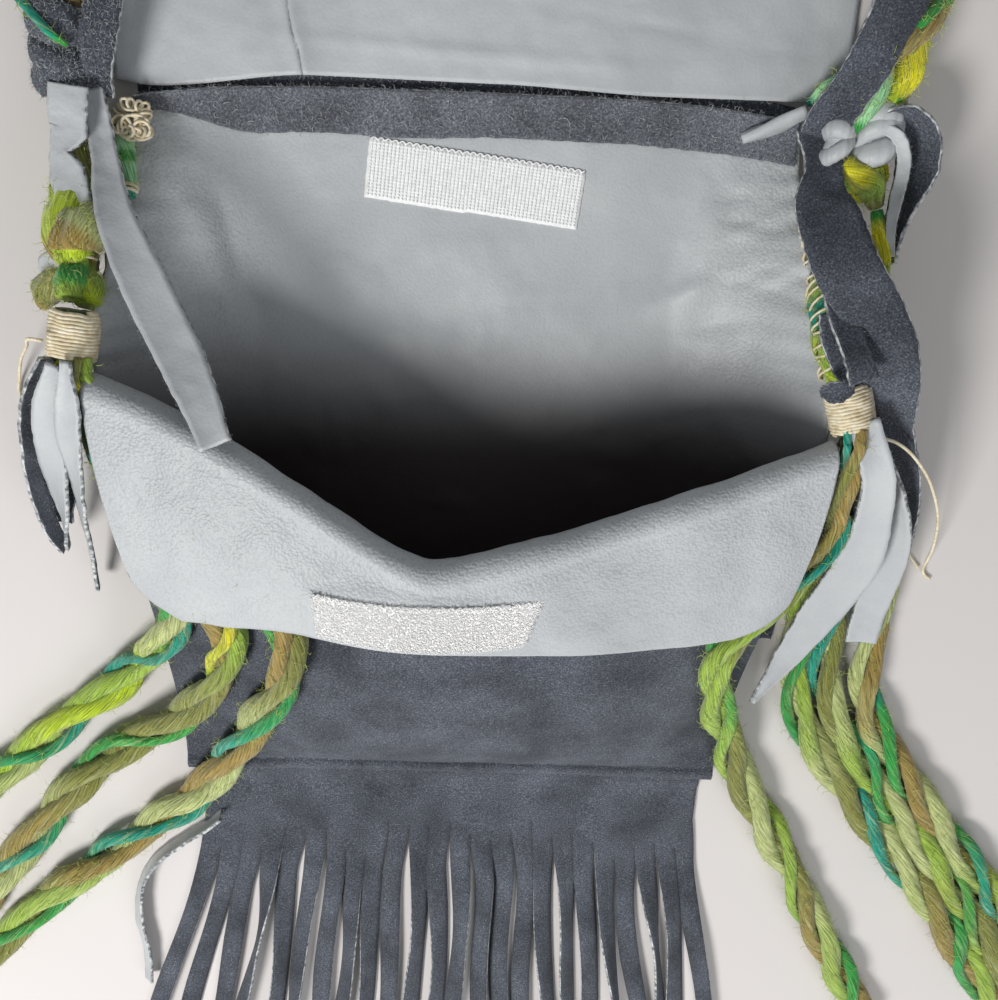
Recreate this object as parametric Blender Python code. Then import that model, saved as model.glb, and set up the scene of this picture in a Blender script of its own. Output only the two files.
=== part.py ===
# Handmade leather shoulder bag with fringe and yarn tassels, lying open on its back.
# Metres, +Z up. The table is z = 0, the bottom seam runs along y = 0 and the middle line is x = 0.
# The mouth and the flap are towards +Y, the fringe towards -Y.

import math
import random

import bmesh
import bpy
from mathutils import Vector

MM = 0.001

# Leather and the gap kept between layers that lie on each other
LEATHER = 1.4 * MM
SEAT = 0.3 * MM
LAYER = LEATHER + SEAT

# Back panel
BODY_LENGTH = 284 * MM       # bottom seam to the ends of the top edge
TOP_BOW = 6 * MM             # the top edge bows up this much in the middle
BOTTOM_WIDTH = 240 * MM
MOUTH_WIDTH = 262 * MM       # between the two mouth corners
MOUTH_SHIFT = 3 * MM         # the mouth lies this much towards +X
TOP_WIDTH = 240 * MM
SEAM_LENGTH = 187 * MM       # side seams, bottom to mouth corner
MOUTH_SKEW = 8 * MM          # the left corner lies this much higher up, the right one lower
FLAT_SHARE = 0.60            # share of the half width that lies flat on the table
BOTTOM_LIFT = 1.5 * MM       # height of the side edge at the bottom, the corner and the top
CORNER_LIFT = 43 * MM
TOP_LIFT = 4 * MM
PUCKER = 1.3 * MM            # gathers that the couching stitches pull into the side edges
PUCKER_PITCH = 26 * MM

# Front panel: a bulging body, a rolled lip and the free top folded outward as a cuff
SEAM_ALLOWANCE = 6 * MM
LIP_Y = 132 * MM             # the lip's lowest place, where it dips in the middle
LIP_HEIGHT = 62 * MM
DIP_PLACE = -0.06            # share of the half width
DIP_ROUNDING = 0.10
LEFT_LIP_FULLNESS = 1.35     # 1 is straight from the dip to the corner
LIP_ROLL = 7 * MM            # radius of the roll
ROLL_START = -60             # degrees round the roll, 0 is towards the mouth
ROLL_END = 110
CUFF_DROP = 36 * MM          # from the dip down to the cuff's free edge
CUFF_STAND_OFF = 16 * MM     # height of the cuff's free edge over the body
CUFF_CORNER = 24 * MM        # rounding of the cuff's corners
CUFF_CORNER_START = 0.68     # share of the half width
CUFF_TAPER = 0.04            # how much the cuff narrows towards its free edge

# Flap, hinged at the seam along the back panel's top edge
FLAP_WIDTH = 260 * MM
FLAP_LENGTH = 190 * MM
FLAP_SHIFT = 5 * MM          # towards +X
FLAP_CORNER = 28 * MM
FLAP_WAVE = 2.2 * MM
HINGE_HEIGHT = 3.2 * MM
HINGE_Y = BODY_LENGTH + TOP_BOW + LEATHER / 2 + SEAT / 2

# Suede band sewn along the top edge of the back panel
BAND_WIDTH = 15 * MM
BAND_LENGTH = 236 * MM

# Fringe, caught in the bottom seam
FRINGE_WIDTH = 230 * MM
FRINGE_HEADER = 36 * MM      # uncut part below the seam
FRINGE_LENGTH = 166 * MM
FRINGE_STRIPS = 24
FRINGE_SLIT = 0.5 * MM
FRINGE_SPREAD = 1.24         # width of the fanned ends over the header's width
FRINGE_TUCK = 5 * MM         # part inside the seam
FRINGE_LEAN = 1 * MM         # how far a strip's end may stray sideways
FRINGE_LEFT_LEAN = 5 * MM    # the three strips on the left lean out by steps of this
FRINGE_TWISTS = (0, 0, 24, -30, 55, -62)     # degrees, one is picked for each strip

# Hook and loop patches
PATCH_LENGTH = 80 * MM
PATCH_WIDTH = 19.5 * MM
PATCH_THICKNESS = 1.5 * MM
HOOK_PLACE = (3 * MM, BODY_LENGTH - 30 * MM, -6.3)      # x, y and degrees
LOOP_PLACE = (-11 * MM, LIP_Y - 24.5 * MM, 1.4)

# Yarn and thread
EDGE_ROPE_RADIUS = 6 * MM
WHIPPING_RADIUS = 8.5 * MM
WHIPPING_LENGTH = 18 * MM
WHIPPING_TURNS = 9
WHIPPING_RISE = 2 * MM        # the whipping starts this far above the mouth corner
ROPE_BEND = 14 * MM          # length over which the rope swings from the edge to its knot
YARN_RADIUS = 6 * MM
BUNDLE_STUB = 5 * MM         # yarns and tails leave the whipping straight for this length
YARN_NECK = 0.58             # share of the radius where the whipping squeezes the yarn
YARN_NECK_LENGTH = 130 * MM
STRAP_RADIUS = 9 * MM

# Knots at the two ends of the strap: x, y, z, radius, length
LEFT_KNOT = (-138 * MM, BODY_LENGTH + 14 * MM, 13.5 * MM, 12 * MM, 27 * MM)
RIGHT_KNOT = (145 * MM, BODY_LENGTH - 3 * MM, 13.0 * MM, 9.5 * MM, 20 * MM)

THONG_WIDTH = 14 * MM
WIDE_THONG_WIDTH = 19 * MM
POINTED_TAIL_WIDTH = 21 * MM
TAIL_WIDTH = 12 * MM

SUEDE = (0.085, 0.095, 0.110)
GRAIN = (0.500, 0.530, 0.545)
TAPE = (0.880, 0.880, 0.860)
THREAD = (0.750, 0.640, 0.430)
YARN = (0.330, 0.480, 0.100)
YARN_TEAL = (0.030, 0.350, 0.260)
YARN_OCHRE = (0.420, 0.260, 0.060)


def material(name, colour, roughness):
    found = bpy.data.materials.get(name)
    if found:
        return found
    made = bpy.data.materials.new(name)
    made.use_nodes = True
    shader = made.node_tree.nodes["Principled BSDF"]
    shader.inputs["Base Color"].default_value = (*colour, 1.0)
    shader.inputs["Roughness"].default_value = roughness
    shader.inputs["Metallic"].default_value = 0.0
    made.diffuse_color = (*colour, 1.0)
    return made


def ease(t):
    t = min(max(t, 0.0), 1.0)
    return t * t * (3 - 2 * t)


def along(stations, value):
    """A smooth curve through (place, height) stations."""
    for (start, low), (end, high) in zip(stations, stations[1:]):
        if value <= end:
            return low + (high - low) * ease((value - start) / (end - start))
    return stations[-1][1]


def smooth_route(points, steps):
    """Catmull-Rom curve through the route's own points, `steps` for each stretch."""
    padded = [2 * points[0] - points[1], *points, 2 * points[-1] - points[-2]]
    route = []
    for a, b, c, d in zip(padded, padded[1:], padded[2:], padded[3:]):
        for k in range(steps):
            t = k / steps
            route.append(
                0.5 * (2 * b + (c - a) * t + (2 * a - 5 * b + 4 * c - d) * t**2
                       + (3 * b - a - 3 * c + d) * t**3)
            )
    route.append(points[-1].copy())
    return route


def in_mm(points):
    return [Vector(point) * MM for point in points]


def add_object(name, mesh, finish):
    made = bpy.data.objects.new(name, mesh)
    made.data.materials.append(finish)
    bpy.context.scene.collection.objects.link(made)
    return made


def sheet(name, rows, finish, thickness=LEATHER):
    """A sheet of leather or tape: rows of points in its middle surface, thickened both ways."""
    mesh = bpy.data.meshes.new(name)
    work = bmesh.new()
    grid = [[work.verts.new(point) for point in row] for row in rows]
    for low, high in zip(grid, grid[1:]):
        for k in range(len(low) - 1):
            work.faces.new((low[k], low[k + 1], high[k + 1], high[k]))
    work.to_mesh(mesh)
    work.free()
    return thicken(add_object(name, mesh, finish), thickness)


def thicken(made, thickness):
    wall = made.modifiers.new("leather thickness", "SOLIDIFY")
    wall.thickness = thickness
    wall.offset = 0.0
    wall.use_even_offset = True
    made.data.shade_smooth()
    return made


def turned(name, profile, centre, direction, finish, sides=12):
    """A body turned round an axis: profile holds (place on the axis, radius), ends on the axis."""
    mesh = bpy.data.meshes.new(name)
    work = bmesh.new()
    axis = Vector(direction).normalized()
    across = axis.orthogonal().normalized()
    points = [work.verts.new(axis * place + across * radius) for place, radius in profile]
    edges = [work.edges.new(pair) for pair in zip(points, points[1:])]
    bmesh.ops.spin(work, geom=points + edges, axis=axis, cent=(0, 0, 0),
                   angle=2 * math.pi, steps=sides, use_merge=True)
    bmesh.ops.remove_doubles(work, verts=work.verts, dist=0.01 * MM)
    bmesh.ops.recalc_face_normals(work, faces=work.faces)
    work.to_mesh(mesh)
    work.free()
    made = add_object(name, mesh, finish)
    made.location = centre
    made.data.shade_smooth()
    return made


def tube(name, route, radii, finish):
    """A plain round cord along a route, with its own radius at each point."""
    curve = bpy.data.curves.new(name, "CURVE")
    curve.dimensions = "3D"
    curve.bevel_depth = 1.0
    curve.bevel_resolution = 2
    curve.use_fill_caps = True
    spline = curve.splines.new("POLY")
    spline.points.add(len(route) - 1)
    for place, point, radius in zip(spline.points, route, radii):
        place.co = (*point, 1.0)
        place.radius = radius
    return add_object(name, curve, finish)


# Back panel

def seam_end(side):
    return SEAM_LENGTH - side * MOUTH_SKEW


def half_width(y, side):
    mouth = MOUTH_WIDTH + side * 2 * MOUTH_SHIFT
    return along([(0, BOTTOM_WIDTH), (seam_end(side), mouth), (BODY_LENGTH, TOP_WIDTH)], y) / 2


def edge_lift(y, side):
    return along([(0, BOTTOM_LIFT), (seam_end(side), CORNER_LIFT), (BODY_LENGTH, TOP_LIFT)], y)


def curl(u):
    """How far a place across the panel has left the table, 0 to 1 at the side edge."""
    return max(0.0, (abs(u) - FLAT_SHARE) / (1 - FLAT_SHARE)) ** 2


def back_point(u, y):
    side = 1 if u > 0 else -1
    above = (y - seam_end(side)) / (BODY_LENGTH - seam_end(side))
    gathers = ease(4 * above) * ease(4 * (0.84 - above))
    pucker = PUCKER * gathers * math.sin(2 * math.pi * y / PUCKER_PITCH)
    bow = TOP_BOW * (1 - u**4) * ease(above)
    return Vector((u * half_width(y, side), y + bow,
                   LEATHER / 2 + edge_lift(y, side) * curl(u) + pucker * curl(u)))


def shares(count, low=-1.0, high=1.0):
    return [low + (high - low) * k / count for k in range(count + 1)]


def make_back_panel():
    lengths = [0, *shares(8, SEAM_ALLOWANCE, SEAM_LENGTH)]
    lengths += shares(13, SEAM_LENGTH, BODY_LENGTH)[1:]
    rows = [[back_point(u, y) for u in shares(24)] for y in lengths]
    sheet("back_panel", rows, material("suede", SUEDE, 0.95))


# Front panel

def lip_y(u):
    """Where the lip lies along y: a rounded V from the mouth corners to the dip."""
    side = 1 if u > DIP_PLACE else -1
    share = abs(u - DIP_PLACE) / (1 - side * DIP_PLACE)
    rounded = math.hypot(share, DIP_ROUNDING) - DIP_ROUNDING
    rounded /= math.hypot(1, DIP_ROUNDING) - DIP_ROUNDING
    if side < 0:
        rounded = 1 - (1 - min(rounded, 1)) ** LEFT_LIP_FULLNESS
    return LIP_Y + (seam_end(side) - LIP_Y) * rounded


def roll_offset(degrees):
    turn = math.radians(degrees)
    return LIP_ROLL * math.cos(turn), LIP_ROLL * math.sin(turn)


def body_end_y(u):
    return lip_y(u) - LIP_ROLL + roll_offset(ROLL_START)[0]


def side_height(y, side):
    """Height of the front's side edge: on the back's, over the fringe at the bottom."""
    layers = along([(0, 2 * LAYER), (3 * SEAM_ALLOWANCE, LAYER)], y)
    return LEATHER / 2 + edge_lift(y, side) + layers


def body_height(u, y):
    side = 1 if u > 0 else -1
    base = LEATHER / 2 + 2 * LAYER
    top = LIP_HEIGHT + roll_offset(ROLL_START)[1]
    share = (y - SEAM_ALLOWANCE) / (body_end_y(u) - SEAM_ALLOWANCE)
    rise = (1 - (1 - min(max(share, 0), 1)) ** 2) ** 0.75
    middle = base + (top - base) * rise
    edge = abs(u) ** 3
    return middle * (1 - edge) + side_height(y, side) * edge


def body_point(u, y):
    side = 1 if u > 0 else -1
    return Vector((u * half_width(y, side), y, body_height(u, y)))


def roll_point(u, degrees):
    side = 1 if u > 0 else -1
    end = body_point(u, body_end_y(u))
    start_y, start_z = roll_offset(ROLL_START)
    here_y, here_z = roll_offset(degrees)
    return Vector((u * half_width(lip_y(u), side), end.y - start_y + here_y,
                   end.z - start_z + here_z))


def cuff_reach(u):
    """Length of the cuff seen from above, from the roll to its free edge."""
    corner = max(0.0, (abs(u) - CUFF_CORNER_START) / (1 - CUFF_CORNER_START))
    rounding = CUFF_CORNER * (1 - math.sqrt(1 - corner**2))
    return roll_point(u, ROLL_END).y - (LIP_Y - CUFF_DROP) - rounding


def cuff_point(u, share):
    start = roll_point(u, ROLL_END)
    y = start.y - cuff_reach(u) * share
    free_y = start.y - cuff_reach(u)
    free_z = body_height(u, free_y) + CUFF_STAND_OFF
    z = start.z + (free_z - start.z) * (0.55 * share + 0.45 * share**2)
    return Vector((start.x * (1 - CUFF_TAPER * share**2), y, z))


def make_front_panel():
    places = shares(24)
    body = [0, 0.5 * SEAM_ALLOWANCE, SEAM_ALLOWANCE]
    rows = [[body_point(u, y) for u in places] for y in body]
    for share in shares(9, 0, 1)[1:]:
        step = share ** 1.4
        rows.append([body_point(u, SEAM_ALLOWANCE + (body_end_y(u) - SEAM_ALLOWANCE) * step)
                     for u in places])
    for degrees in shares(5, ROLL_START, ROLL_END)[1:]:
        rows.append([roll_point(u, degrees) for u in places])
    for share in shares(6, 0, 1)[1:]:
        rows.append([cuff_point(u, share) for u in places])
    sheet("front_panel", rows, material("suede", SUEDE, 0.95))


# Flap

def flap_half_width(along_flap):
    """Half width, with the far corners rounded."""
    left = FLAP_LENGTH - along_flap
    if left >= FLAP_CORNER:
        return FLAP_WIDTH / 2
    return FLAP_WIDTH / 2 - FLAP_CORNER + math.sqrt(FLAP_CORNER**2 - (FLAP_CORNER - left) ** 2)


def flap_point(u, along_flap):
    x = FLAP_SHIFT + u * flap_half_width(along_flap)
    drop = ease(along_flap / (0.2 * FLAP_LENGTH))
    wave = FLAP_WAVE * (1 + math.sin(34 * x + 21 * along_flap) * math.cos(26 * along_flap)) / 2
    resting = LEATHER / 2 + SEAT + wave
    return Vector((x, HINGE_Y + along_flap, HINGE_HEIGHT * (1 - drop) + resting * drop))


def make_flap():
    lengths = [FLAP_LENGTH * k / 9 * 0.94 for k in range(10)]
    lengths += [FLAP_LENGTH * share for share in (0.965, 0.988, 1.0)]
    rows = [[flap_point(u, length) for u in shares(16)] for length in lengths]
    sheet("flap", rows, material("suede", SUEDE, 0.95))


# Band and patches, laid on the panels

def on_back(x, y):
    side = 1 if x > 0 else -1
    return back_point(x / half_width(y, side), y)


def on_cuff(x, y):
    side = 1 if x > 0 else -1
    u = x / half_width(lip_y(x / (MOUTH_WIDTH / 2)), side)
    share = (roll_point(u, ROLL_END).y - y) / cuff_reach(u)
    return cuff_point(u, share)


def laid_on(surface, x, y, lift):
    """A point `lift` above a panel's middle surface, square to it."""
    here = surface(x, y)
    across = surface(x + MM, y) - surface(x - MM, y)
    up = surface(x, y + MM) - surface(x, y - MM)
    return here + across.cross(up).normalized() * lift


def make_band():
    lift = LAYER + SEAT / 2
    rows = []
    for y in shares(3, BODY_LENGTH - BAND_WIDTH, BODY_LENGTH):
        rows.append([laid_on(on_back, x, y, lift) for x in shares(22, -BAND_LENGTH / 2, BAND_LENGTH / 2)])
    sheet("top_band", rows, material("suede", SUEDE, 0.95))


def make_patch(name, surface, place):
    """A piece of hook or loop tape, turned by some degrees on the panel it is sewn to."""
    x, y, degrees = place
    turn = math.radians(degrees)
    lift = LEATHER / 2 + SEAT + PATCH_THICKNESS / 2
    rows = []
    for down in shares(3, -PATCH_WIDTH / 2, PATCH_WIDTH / 2):
        rows.append([
            laid_on(surface, x + across * math.cos(turn) - down * math.sin(turn),
                    y + across * math.sin(turn) + down * math.cos(turn), lift)
            for across in shares(12, -PATCH_LENGTH / 2, PATCH_LENGTH / 2)
        ])
    sheet(name, rows, material("hook and loop tape", TAPE, 0.9), PATCH_THICKNESS)


# Fringe

def fringe_height(y):
    """Middle of the fringe leather: inside the seam, then down over the edge to the table."""
    return along([(-2 * SEAM_ALLOWANCE, LEATHER / 2 + SEAT), (-MM, LEATHER / 2 + LAYER)], y)


def header_point(k, y):
    x = FRINGE_WIDTH * (k / FRINGE_STRIPS - 0.5)
    side = 1 if x > 0 else -1
    inside = BOTTOM_LIFT * curl(x / half_width(0, side)) if y > -SEAM_ALLOWANCE else 0
    return Vector((x, y, fringe_height(y) + inside))


def strip_edges(index, share, lean, twist):
    """The two edges of one strip, `share` of the way down from the header."""
    pitch = FRINGE_WIDTH / FRINGE_STRIPS
    top = pitch * (index + 0.5) - FRINGE_WIDTH / 2
    fan = 1 + (FRINGE_SPREAD - 1) * share
    x = top * fan + lean * share**2
    y = -FRINGE_HEADER - (FRINGE_LENGTH - FRINGE_HEADER) * share
    turn = math.radians(twist) * ease(share * 1.4)
    half = (pitch - FRINGE_SLIT) / 2
    reach = Vector((math.cos(turn), 0, math.sin(turn))) * half
    middle = Vector((x, y, LEATHER / 2 + SEAT + abs(reach.z)))
    return middle - reach, middle + reach


def make_fringe():
    pick = random.Random(7)
    work = bmesh.new()
    header_rows = [FRINGE_TUCK, -MM, -SEAM_ALLOWANCE, -2 * SEAM_ALLOWANCE, -FRINGE_HEADER]
    grid = [[work.verts.new(header_point(k, y)) for k in range(FRINGE_STRIPS + 1)]
            for y in reversed(header_rows)]
    for low, high in zip(grid, grid[1:]):
        for k in range(FRINGE_STRIPS):
            work.faces.new((low[k], low[k + 1], high[k + 1], high[k]))
    for index in range(FRINGE_STRIPS):
        lean = pick.uniform(-1.0, 1.0) * FRINGE_LEAN
        twist = pick.choice(FRINGE_TWISTS)
        if index < 3:
            lean -= (3 - index) * FRINGE_LEFT_LEAN
        upper = (grid[0][index], grid[0][index + 1])
        for share in shares(7, 0, 1)[1:]:
            edges = strip_edges(index, share, lean, twist)
            lower = tuple(work.verts.new(point) for point in edges)
            work.faces.new((lower[0], lower[1], upper[1], upper[0]))
            upper = lower
    mesh = bpy.data.meshes.new("fringe")
    work.to_mesh(mesh)
    work.free()
    thicken(add_object("fringe", mesh, material("suede", SUEDE, 0.95)), LEATHER)


# Edge ropes and whippings along the sides of the mouth

def edge_run(side, y):
    return (back_point(side, y + MM) - back_point(side, y - MM)).normalized()


def beside_edge(side, y, radius):
    """Centre of a round bundle that lies against the back panel's side edge."""
    edge = back_point(side, y)
    outward = edge - back_point(side * 0.98, y)
    outward -= outward.project(edge_run(side, y))
    return edge + outward.normalized() * (radius + SEAT)


def make_edge_rope(name, side, knot, finish):
    """The rope from the whipping up the side edge, and off it into the strap's knot."""
    start = seam_end(side) + WHIPPING_RISE + WHIPPING_LENGTH + 3 * SEAT
    x, y, z, _radius, length = knot
    end = y - length / 2 - SEAT
    route = [beside_edge(side, place, EDGE_ROPE_RADIUS) for place in shares(12, start, end - ROPE_BEND)]
    route += [Vector((x, end - ROPE_BEND / 3, z)), Vector((x, end, z))]
    tube(name, route, [EDGE_ROPE_RADIUS] * len(route), finish)


def whipping_middle(side):
    return seam_end(side) + WHIPPING_RISE + WHIPPING_LENGTH / 2


def below_whipping(side, across, up, out):
    """A point in front of the whipping's lower end: across and up in its face, out from it."""
    run = edge_run(side, whipping_middle(side))
    face = beside_edge(side, whipping_middle(side), WHIPPING_RADIUS) - run * WHIPPING_LENGTH / 2
    right = run.cross(Vector((0, 0, 1))).normalized()
    return face + right * across + right.cross(run) * up - run * out


def make_whipping(name, side):
    """Waxed thread wound round the bundle: one rounded ridge for each turn."""
    groove = 0.93
    middle = whipping_middle(side)
    profile = [(-WHIPPING_LENGTH / 2, 0)]
    for turn in range(WHIPPING_TURNS):
        for share, radius in ((0.0, groove), (0.5, 1.0)):
            place = (turn + share) / WHIPPING_TURNS - 0.5
            profile.append((place * WHIPPING_LENGTH, WHIPPING_RADIUS * radius))
    profile += [(WHIPPING_LENGTH / 2, WHIPPING_RADIUS * groove), (WHIPPING_LENGTH / 2, 0)]
    turned(name, profile, beside_edge(side, middle, WHIPPING_RADIUS), edge_run(side, middle),
           material("waxed thread", THREAD, 0.7), 10)


# Strap and its knots

def make_knot(name, place, finish):
    """A strip wound into a hard knot: two full bulges with a waist between them."""
    x, y, z, radius, length = place
    profile = [(-0.5, 0), (-0.5, 0.45), (-0.42, 0.75), (-0.25, 1.0), (-0.08, 0.9),
               (0.0, 0.8), (0.1, 0.92), (0.28, 1.0), (0.42, 0.7), (0.5, 0.4), (0.5, 0)]
    turned(name, [(place * length, size * radius) for place, size in profile],
           (x, y, z), (0, 1, 0), finish, 12)


STRAP_ROUTE = [
    (145, 291.7, 12.5), (145.5, 316, 10.2), (148, 350, 9.6), (153, 400, 9.6), (163, 455, 9.6),
    (176, 512, 9.6), (182, 572, 9.6), (168, 632, 9.6), (128, 682, 9.6), (66, 708, 9.6),
    (-6, 712, 9.6), (-78, 700, 9.6), (-134, 664, 9.6), (-168, 610, 9.6), (-178, 548, 9.6),
    (-172, 486, 9.6), (-158, 430, 9.6), (-145, 378, 9.6), (-138.6, 336, 10.4), (-138, 312.2, 13),
]


def make_strap():
    route = smooth_route(in_mm(STRAP_ROUTE), 2)
    tube("strap", route, [STRAP_RADIUS] * len(route), material("strap twist", YARN_OCHRE, 0.95))


# Yarn tassels: each a loosely twisted pair of strands that comes out of a whipping. A route has
# the strand's place in the whipping's end face, across and up, and then its points in the open

YARN_ROUTES = {
    "left_yarn_1": ((-7.2, 1), [(-141.9, 189, 50.6), (-142.9, 179.6, 45), (-140.3, 167.4, 42),
        (-135, 151.3, 42), (-128.5, 138, 43.4), (-121.2, 123.9, 42), (-114.5, 109.9, 40.8),
        (-110.5, 98, 39.2), (-113.6, 85.8, 34.1), (-122.7, 72.1, 26.4), (-132.2, 60.5, 14.1),
        (-141.5, 49.9, 7.5), (-155.5, 36.5, 6.4), (-176, 19, 6.4), (-196, 1, 6.4),
        (-217, -17.5, 6.4), (-239, -40, 6.4)]),
    "left_yarn_2": ((-0.5, -2.2), [(-134.3, 188, 48.3), (-135, 182.2, 47.5), (-133.3, 172.5, 47.9),
        (-123.9, 159.8, 50.1), (-113.7, 144.2, 49.9), (-103.9, 128.1, 49.2), (-95, 112.1, 48.2),
        (-88.5, 98.3, 47.1), (-87.5, 87.3, 44.4), (-93.1, 69.4, 37), (-107.9, 45.8, 24.1),
        (-127.8, 24.2, 11.3), (-150, 9.4, 7.1), (-173, -12.5, 6.5), (-195, -41, 6.4),
        (-215, -68, 6.4), (-233, -94, 6.4)]),
    "left_yarn_3": ((0, 5.2), [(-132.8, 188.8, 57.5), (-129.5, 181.2, 53), (-120.8, 171, 50.9),
        (-108.5, 158.1, 53.7), (-94.6, 143.2, 54.1), (-81.9, 127.8, 54.6), (-71, 112.3, 54.5),
        (-63, 97, 53.3), (-65.2, 73.5, 47.1), (-79.5, 45.6, 33.4), (-97, 15, 18.1),
        (-116.2, -12.5, 9), (-136, -30, 6.6), (-158, -48, 6.4), (-182.4, -68.5, 6.4),
        (-209.5, -96, 6.4), (-233, -123, 6.4)]),
    "right_yarn_1": ((0.2, 5), [(139.9, 168.1, 53.5), (140.7, 154.1, 47.8), (143.5, 142.9, 42.3),
        (139.6, 129, 40.3), (130, 116, 40.8), (117.4, 104, 42.5), (108.5, 92, 42),
        (106.1, 81.1, 39.2), (109.7, 61.7, 30.7), (116.8, 41.6, 20.5), (124.3, 23.2, 12.5),
        (132.7, 2.5, 7.2), (148, -23.4, 6.5), (164, -52.5, 6.4), (182, -86, 6.4), (200, -118, 6.4),
        (218, -149, 6.4)]),
    "right_yarn_2": ((1.5, -3.6), [(141.9, 169.5, 45.2), (149.1, 152.8, 34), (153.2, 137.5, 17.5),
        (152.5, 115, 8.5), (150, 92, 6.4), (149.1, 69.1, 6.4), (151.7, 48.5, 6.4),
        (162.8, 23.6, 6.4), (180, 1, 6.4), (196, -19.3, 6.4), (214.3, -42.5, 6.4),
        (235.4, -69.5, 6.4), (258, -100.5, 6.4), (279.5, -133.5, 6.4)]),
    "right_yarn_3": ((7.3, 1.4), [(149, 171.9, 53.6), (153, 155.3, 46.1), (161.6, 141.7, 28.1),
        (164.5, 121.5, 13.6), (164, 97.5, 7.2), (162.5, 70.5, 6.5), (165.5, 50, 6.4),
        (176.3, 28.7, 6.4), (193.2, 4.9, 6.4), (210, -16.6, 6.4), (229, -39.8, 6.4),
        (251, -67.5, 6.4), (273.7, -98.5, 6.4), (293.5, -128.5, 6.4)]),
    "right_yarn_4": ((8.5, -6.3), [(152.2, 170.9, 42.4), (163.5, 156, 32.2), (176.4, 139.7, 19.3),
        (180.7, 118, 9.1), (182, 94, 6.5), (181.3, 70, 6.5), (183.8, 47, 6.4), (195, 24.4, 6.4),
        (213, -0.1, 6.4), (231.3, -22.8, 6.4), (250.3, -45.8, 6.4), (271.5, -70, 6.4),
        (294, -96.5, 6.4)]),
}


def from_whipping(name, seat):
    """The first points of what comes out of the whipping, square to its end face."""
    side = -1 if name.startswith("left") else 1
    across, up = seat
    places = (SEAT, BUNDLE_STUB / 2, BUNDLE_STUB)
    return [below_whipping(side, across * MM, up * MM, out) for out in places]


def make_yarns():
    colours = (YARN, YARN_TEAL, YARN_OCHRE)
    for index, (name, (seat, points)) in enumerate(YARN_ROUTES.items()):
        route = smooth_route(from_whipping(name, seat) + in_mm(points), 2)
        radii = []
        walked = 0.0
        for here, before in zip(route, [route[0], *route]):
            walked += (here - before).length
            squeeze = YARN_NECK + (1 - YARN_NECK) * ease(walked / YARN_NECK_LENGTH)
            radii.append(YARN_RADIUS * squeeze)
        tint = index % 3
        tube(name, route, radii, material(f"wool yarn {tint + 1}", colours[tint], 0.98))


# Thongs and tails: flat leather strips. Each point is x, y, z and the strip's turn about its run

THONGS = {
    "left_front_thong": (THONG_WIDTH, GRAIN, [
        (-122.1, 271.7, 16.1, 0), (-120.1, 260.2, 25.5, -8), (-115.5, 245, 37, -14),
        (-107, 222, 49, -16), (-94, 201, 57, -14), (-86, 189, 65, -10), (-80, 177, 71, -6)]),
    "right_front_thong": (WIDE_THONG_WIDTH, SUEDE, [
        (123.1, 269.8, 12.8, 0), (122, 262, 24, 10), (125, 247, 40, 16), (134, 231, 52, 20),
        (146.1, 214.9, 57.2, 26), (159.3, 197.9, 53.2, 36), (170, 178, 44, 48), (181, 158, 28, 60),
        (189, 138, 14, 70)]),
    "right_outer_thong": (THONG_WIDTH, GRAIN, [
        (155.5, 284, 14, 84), (162, 284.5, 16, 82), (168, 276, 16, 84), (168, 263, 17, 80),
        (161, 249, 21, 64)]),
    "left_tail_1": (TAIL_WIDTH, GRAIN, [
        (-144.6, 198.4, 54.7, 88), (-150.2, 182.9, 48.3, 84), (-157.1, 166, 34, 84),
        (-162, 146, 19, 86), (-164.5, 125, 9, 88), (-164, 108, 7.2, 88)]),
    "left_tail_2": (TAIL_WIDTH, GRAIN, [
        (-139.0, 199.2, 41.6, 40.0), (-148, 181.1, 32.6, 60), (-152, 164, 23.5, 80),
        (-156, 142, 12, 86), (-156, 116, 7.5, 88), (-151, 90, 7.2, 88)]),
    "right_pointed_tail": (POINTED_TAIL_WIDTH, GRAIN, [
        (146.8, 185.8, 62.6, 2.0), (156.6, 160.0, 59.9, 6.0), (161.3, 142.2, 41.5, 8), (161, 121, 29, 6),
        (154, 95, 19, 2), (142.1, 68, 14.7, 0), (131.1, 48.2, 16.5, 0)]),
    "right_square_tail": (THONG_WIDTH, GRAIN, [
        (148.5, 187, 50.5, 86), (170, 160.3, 47.3, 66), (178, 142, 36, 40), (181, 122, 24, 18),
        (178, 98, 14.8, 3), (175, 78, 14.3, 0)]),
    "right_suede_tail": (TAIL_WIDTH, SUEDE, [
        (143.5, 183.6, 41.8, 0), (147, 160.1, 24.4, 0), (143, 139.1, 12.9, 0), (139, 116, 4.5, 0),
        (136.5, 94, 1.4, 0), (136.5, 72, 1.2, 0)]),
}


def strip(name, width, colour, points):
    """A leather strip along a route; the turn tips it about its own run."""
    centres = smooth_route([Vector(point[:3]) * MM for point in points], 2)
    turns = []
    for a, b in zip(points, points[1:]):
        turns += [a[3], (a[3] + b[3]) / 2]
    turns.append(points[-1][3])
    rows = []
    for k, centre in enumerate(centres):
        before, after = centres[max(k - 1, 0)], centres[min(k + 1, len(centres) - 1)]
        run = (after - before).normalized()
        across = Vector((0, 0, 1)).cross(run).normalized()
        up = run.cross(across)
        turn = math.radians(turns[k])
        reach = (across * math.cos(turn) + up * math.sin(turn)) * width / 2
        if k == len(centres) - 1:
            reach *= 0.45
        rows.append([centre - reach, centre, centre + reach])
    finish = material("suede", SUEDE, 0.95) if colour == SUEDE else material("grain", GRAIN, 0.5)
    sheet(name, rows, finish)


def clear_scene():
    for item in list(bpy.data.objects):
        bpy.data.objects.remove(item, do_unlink=True)


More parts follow.
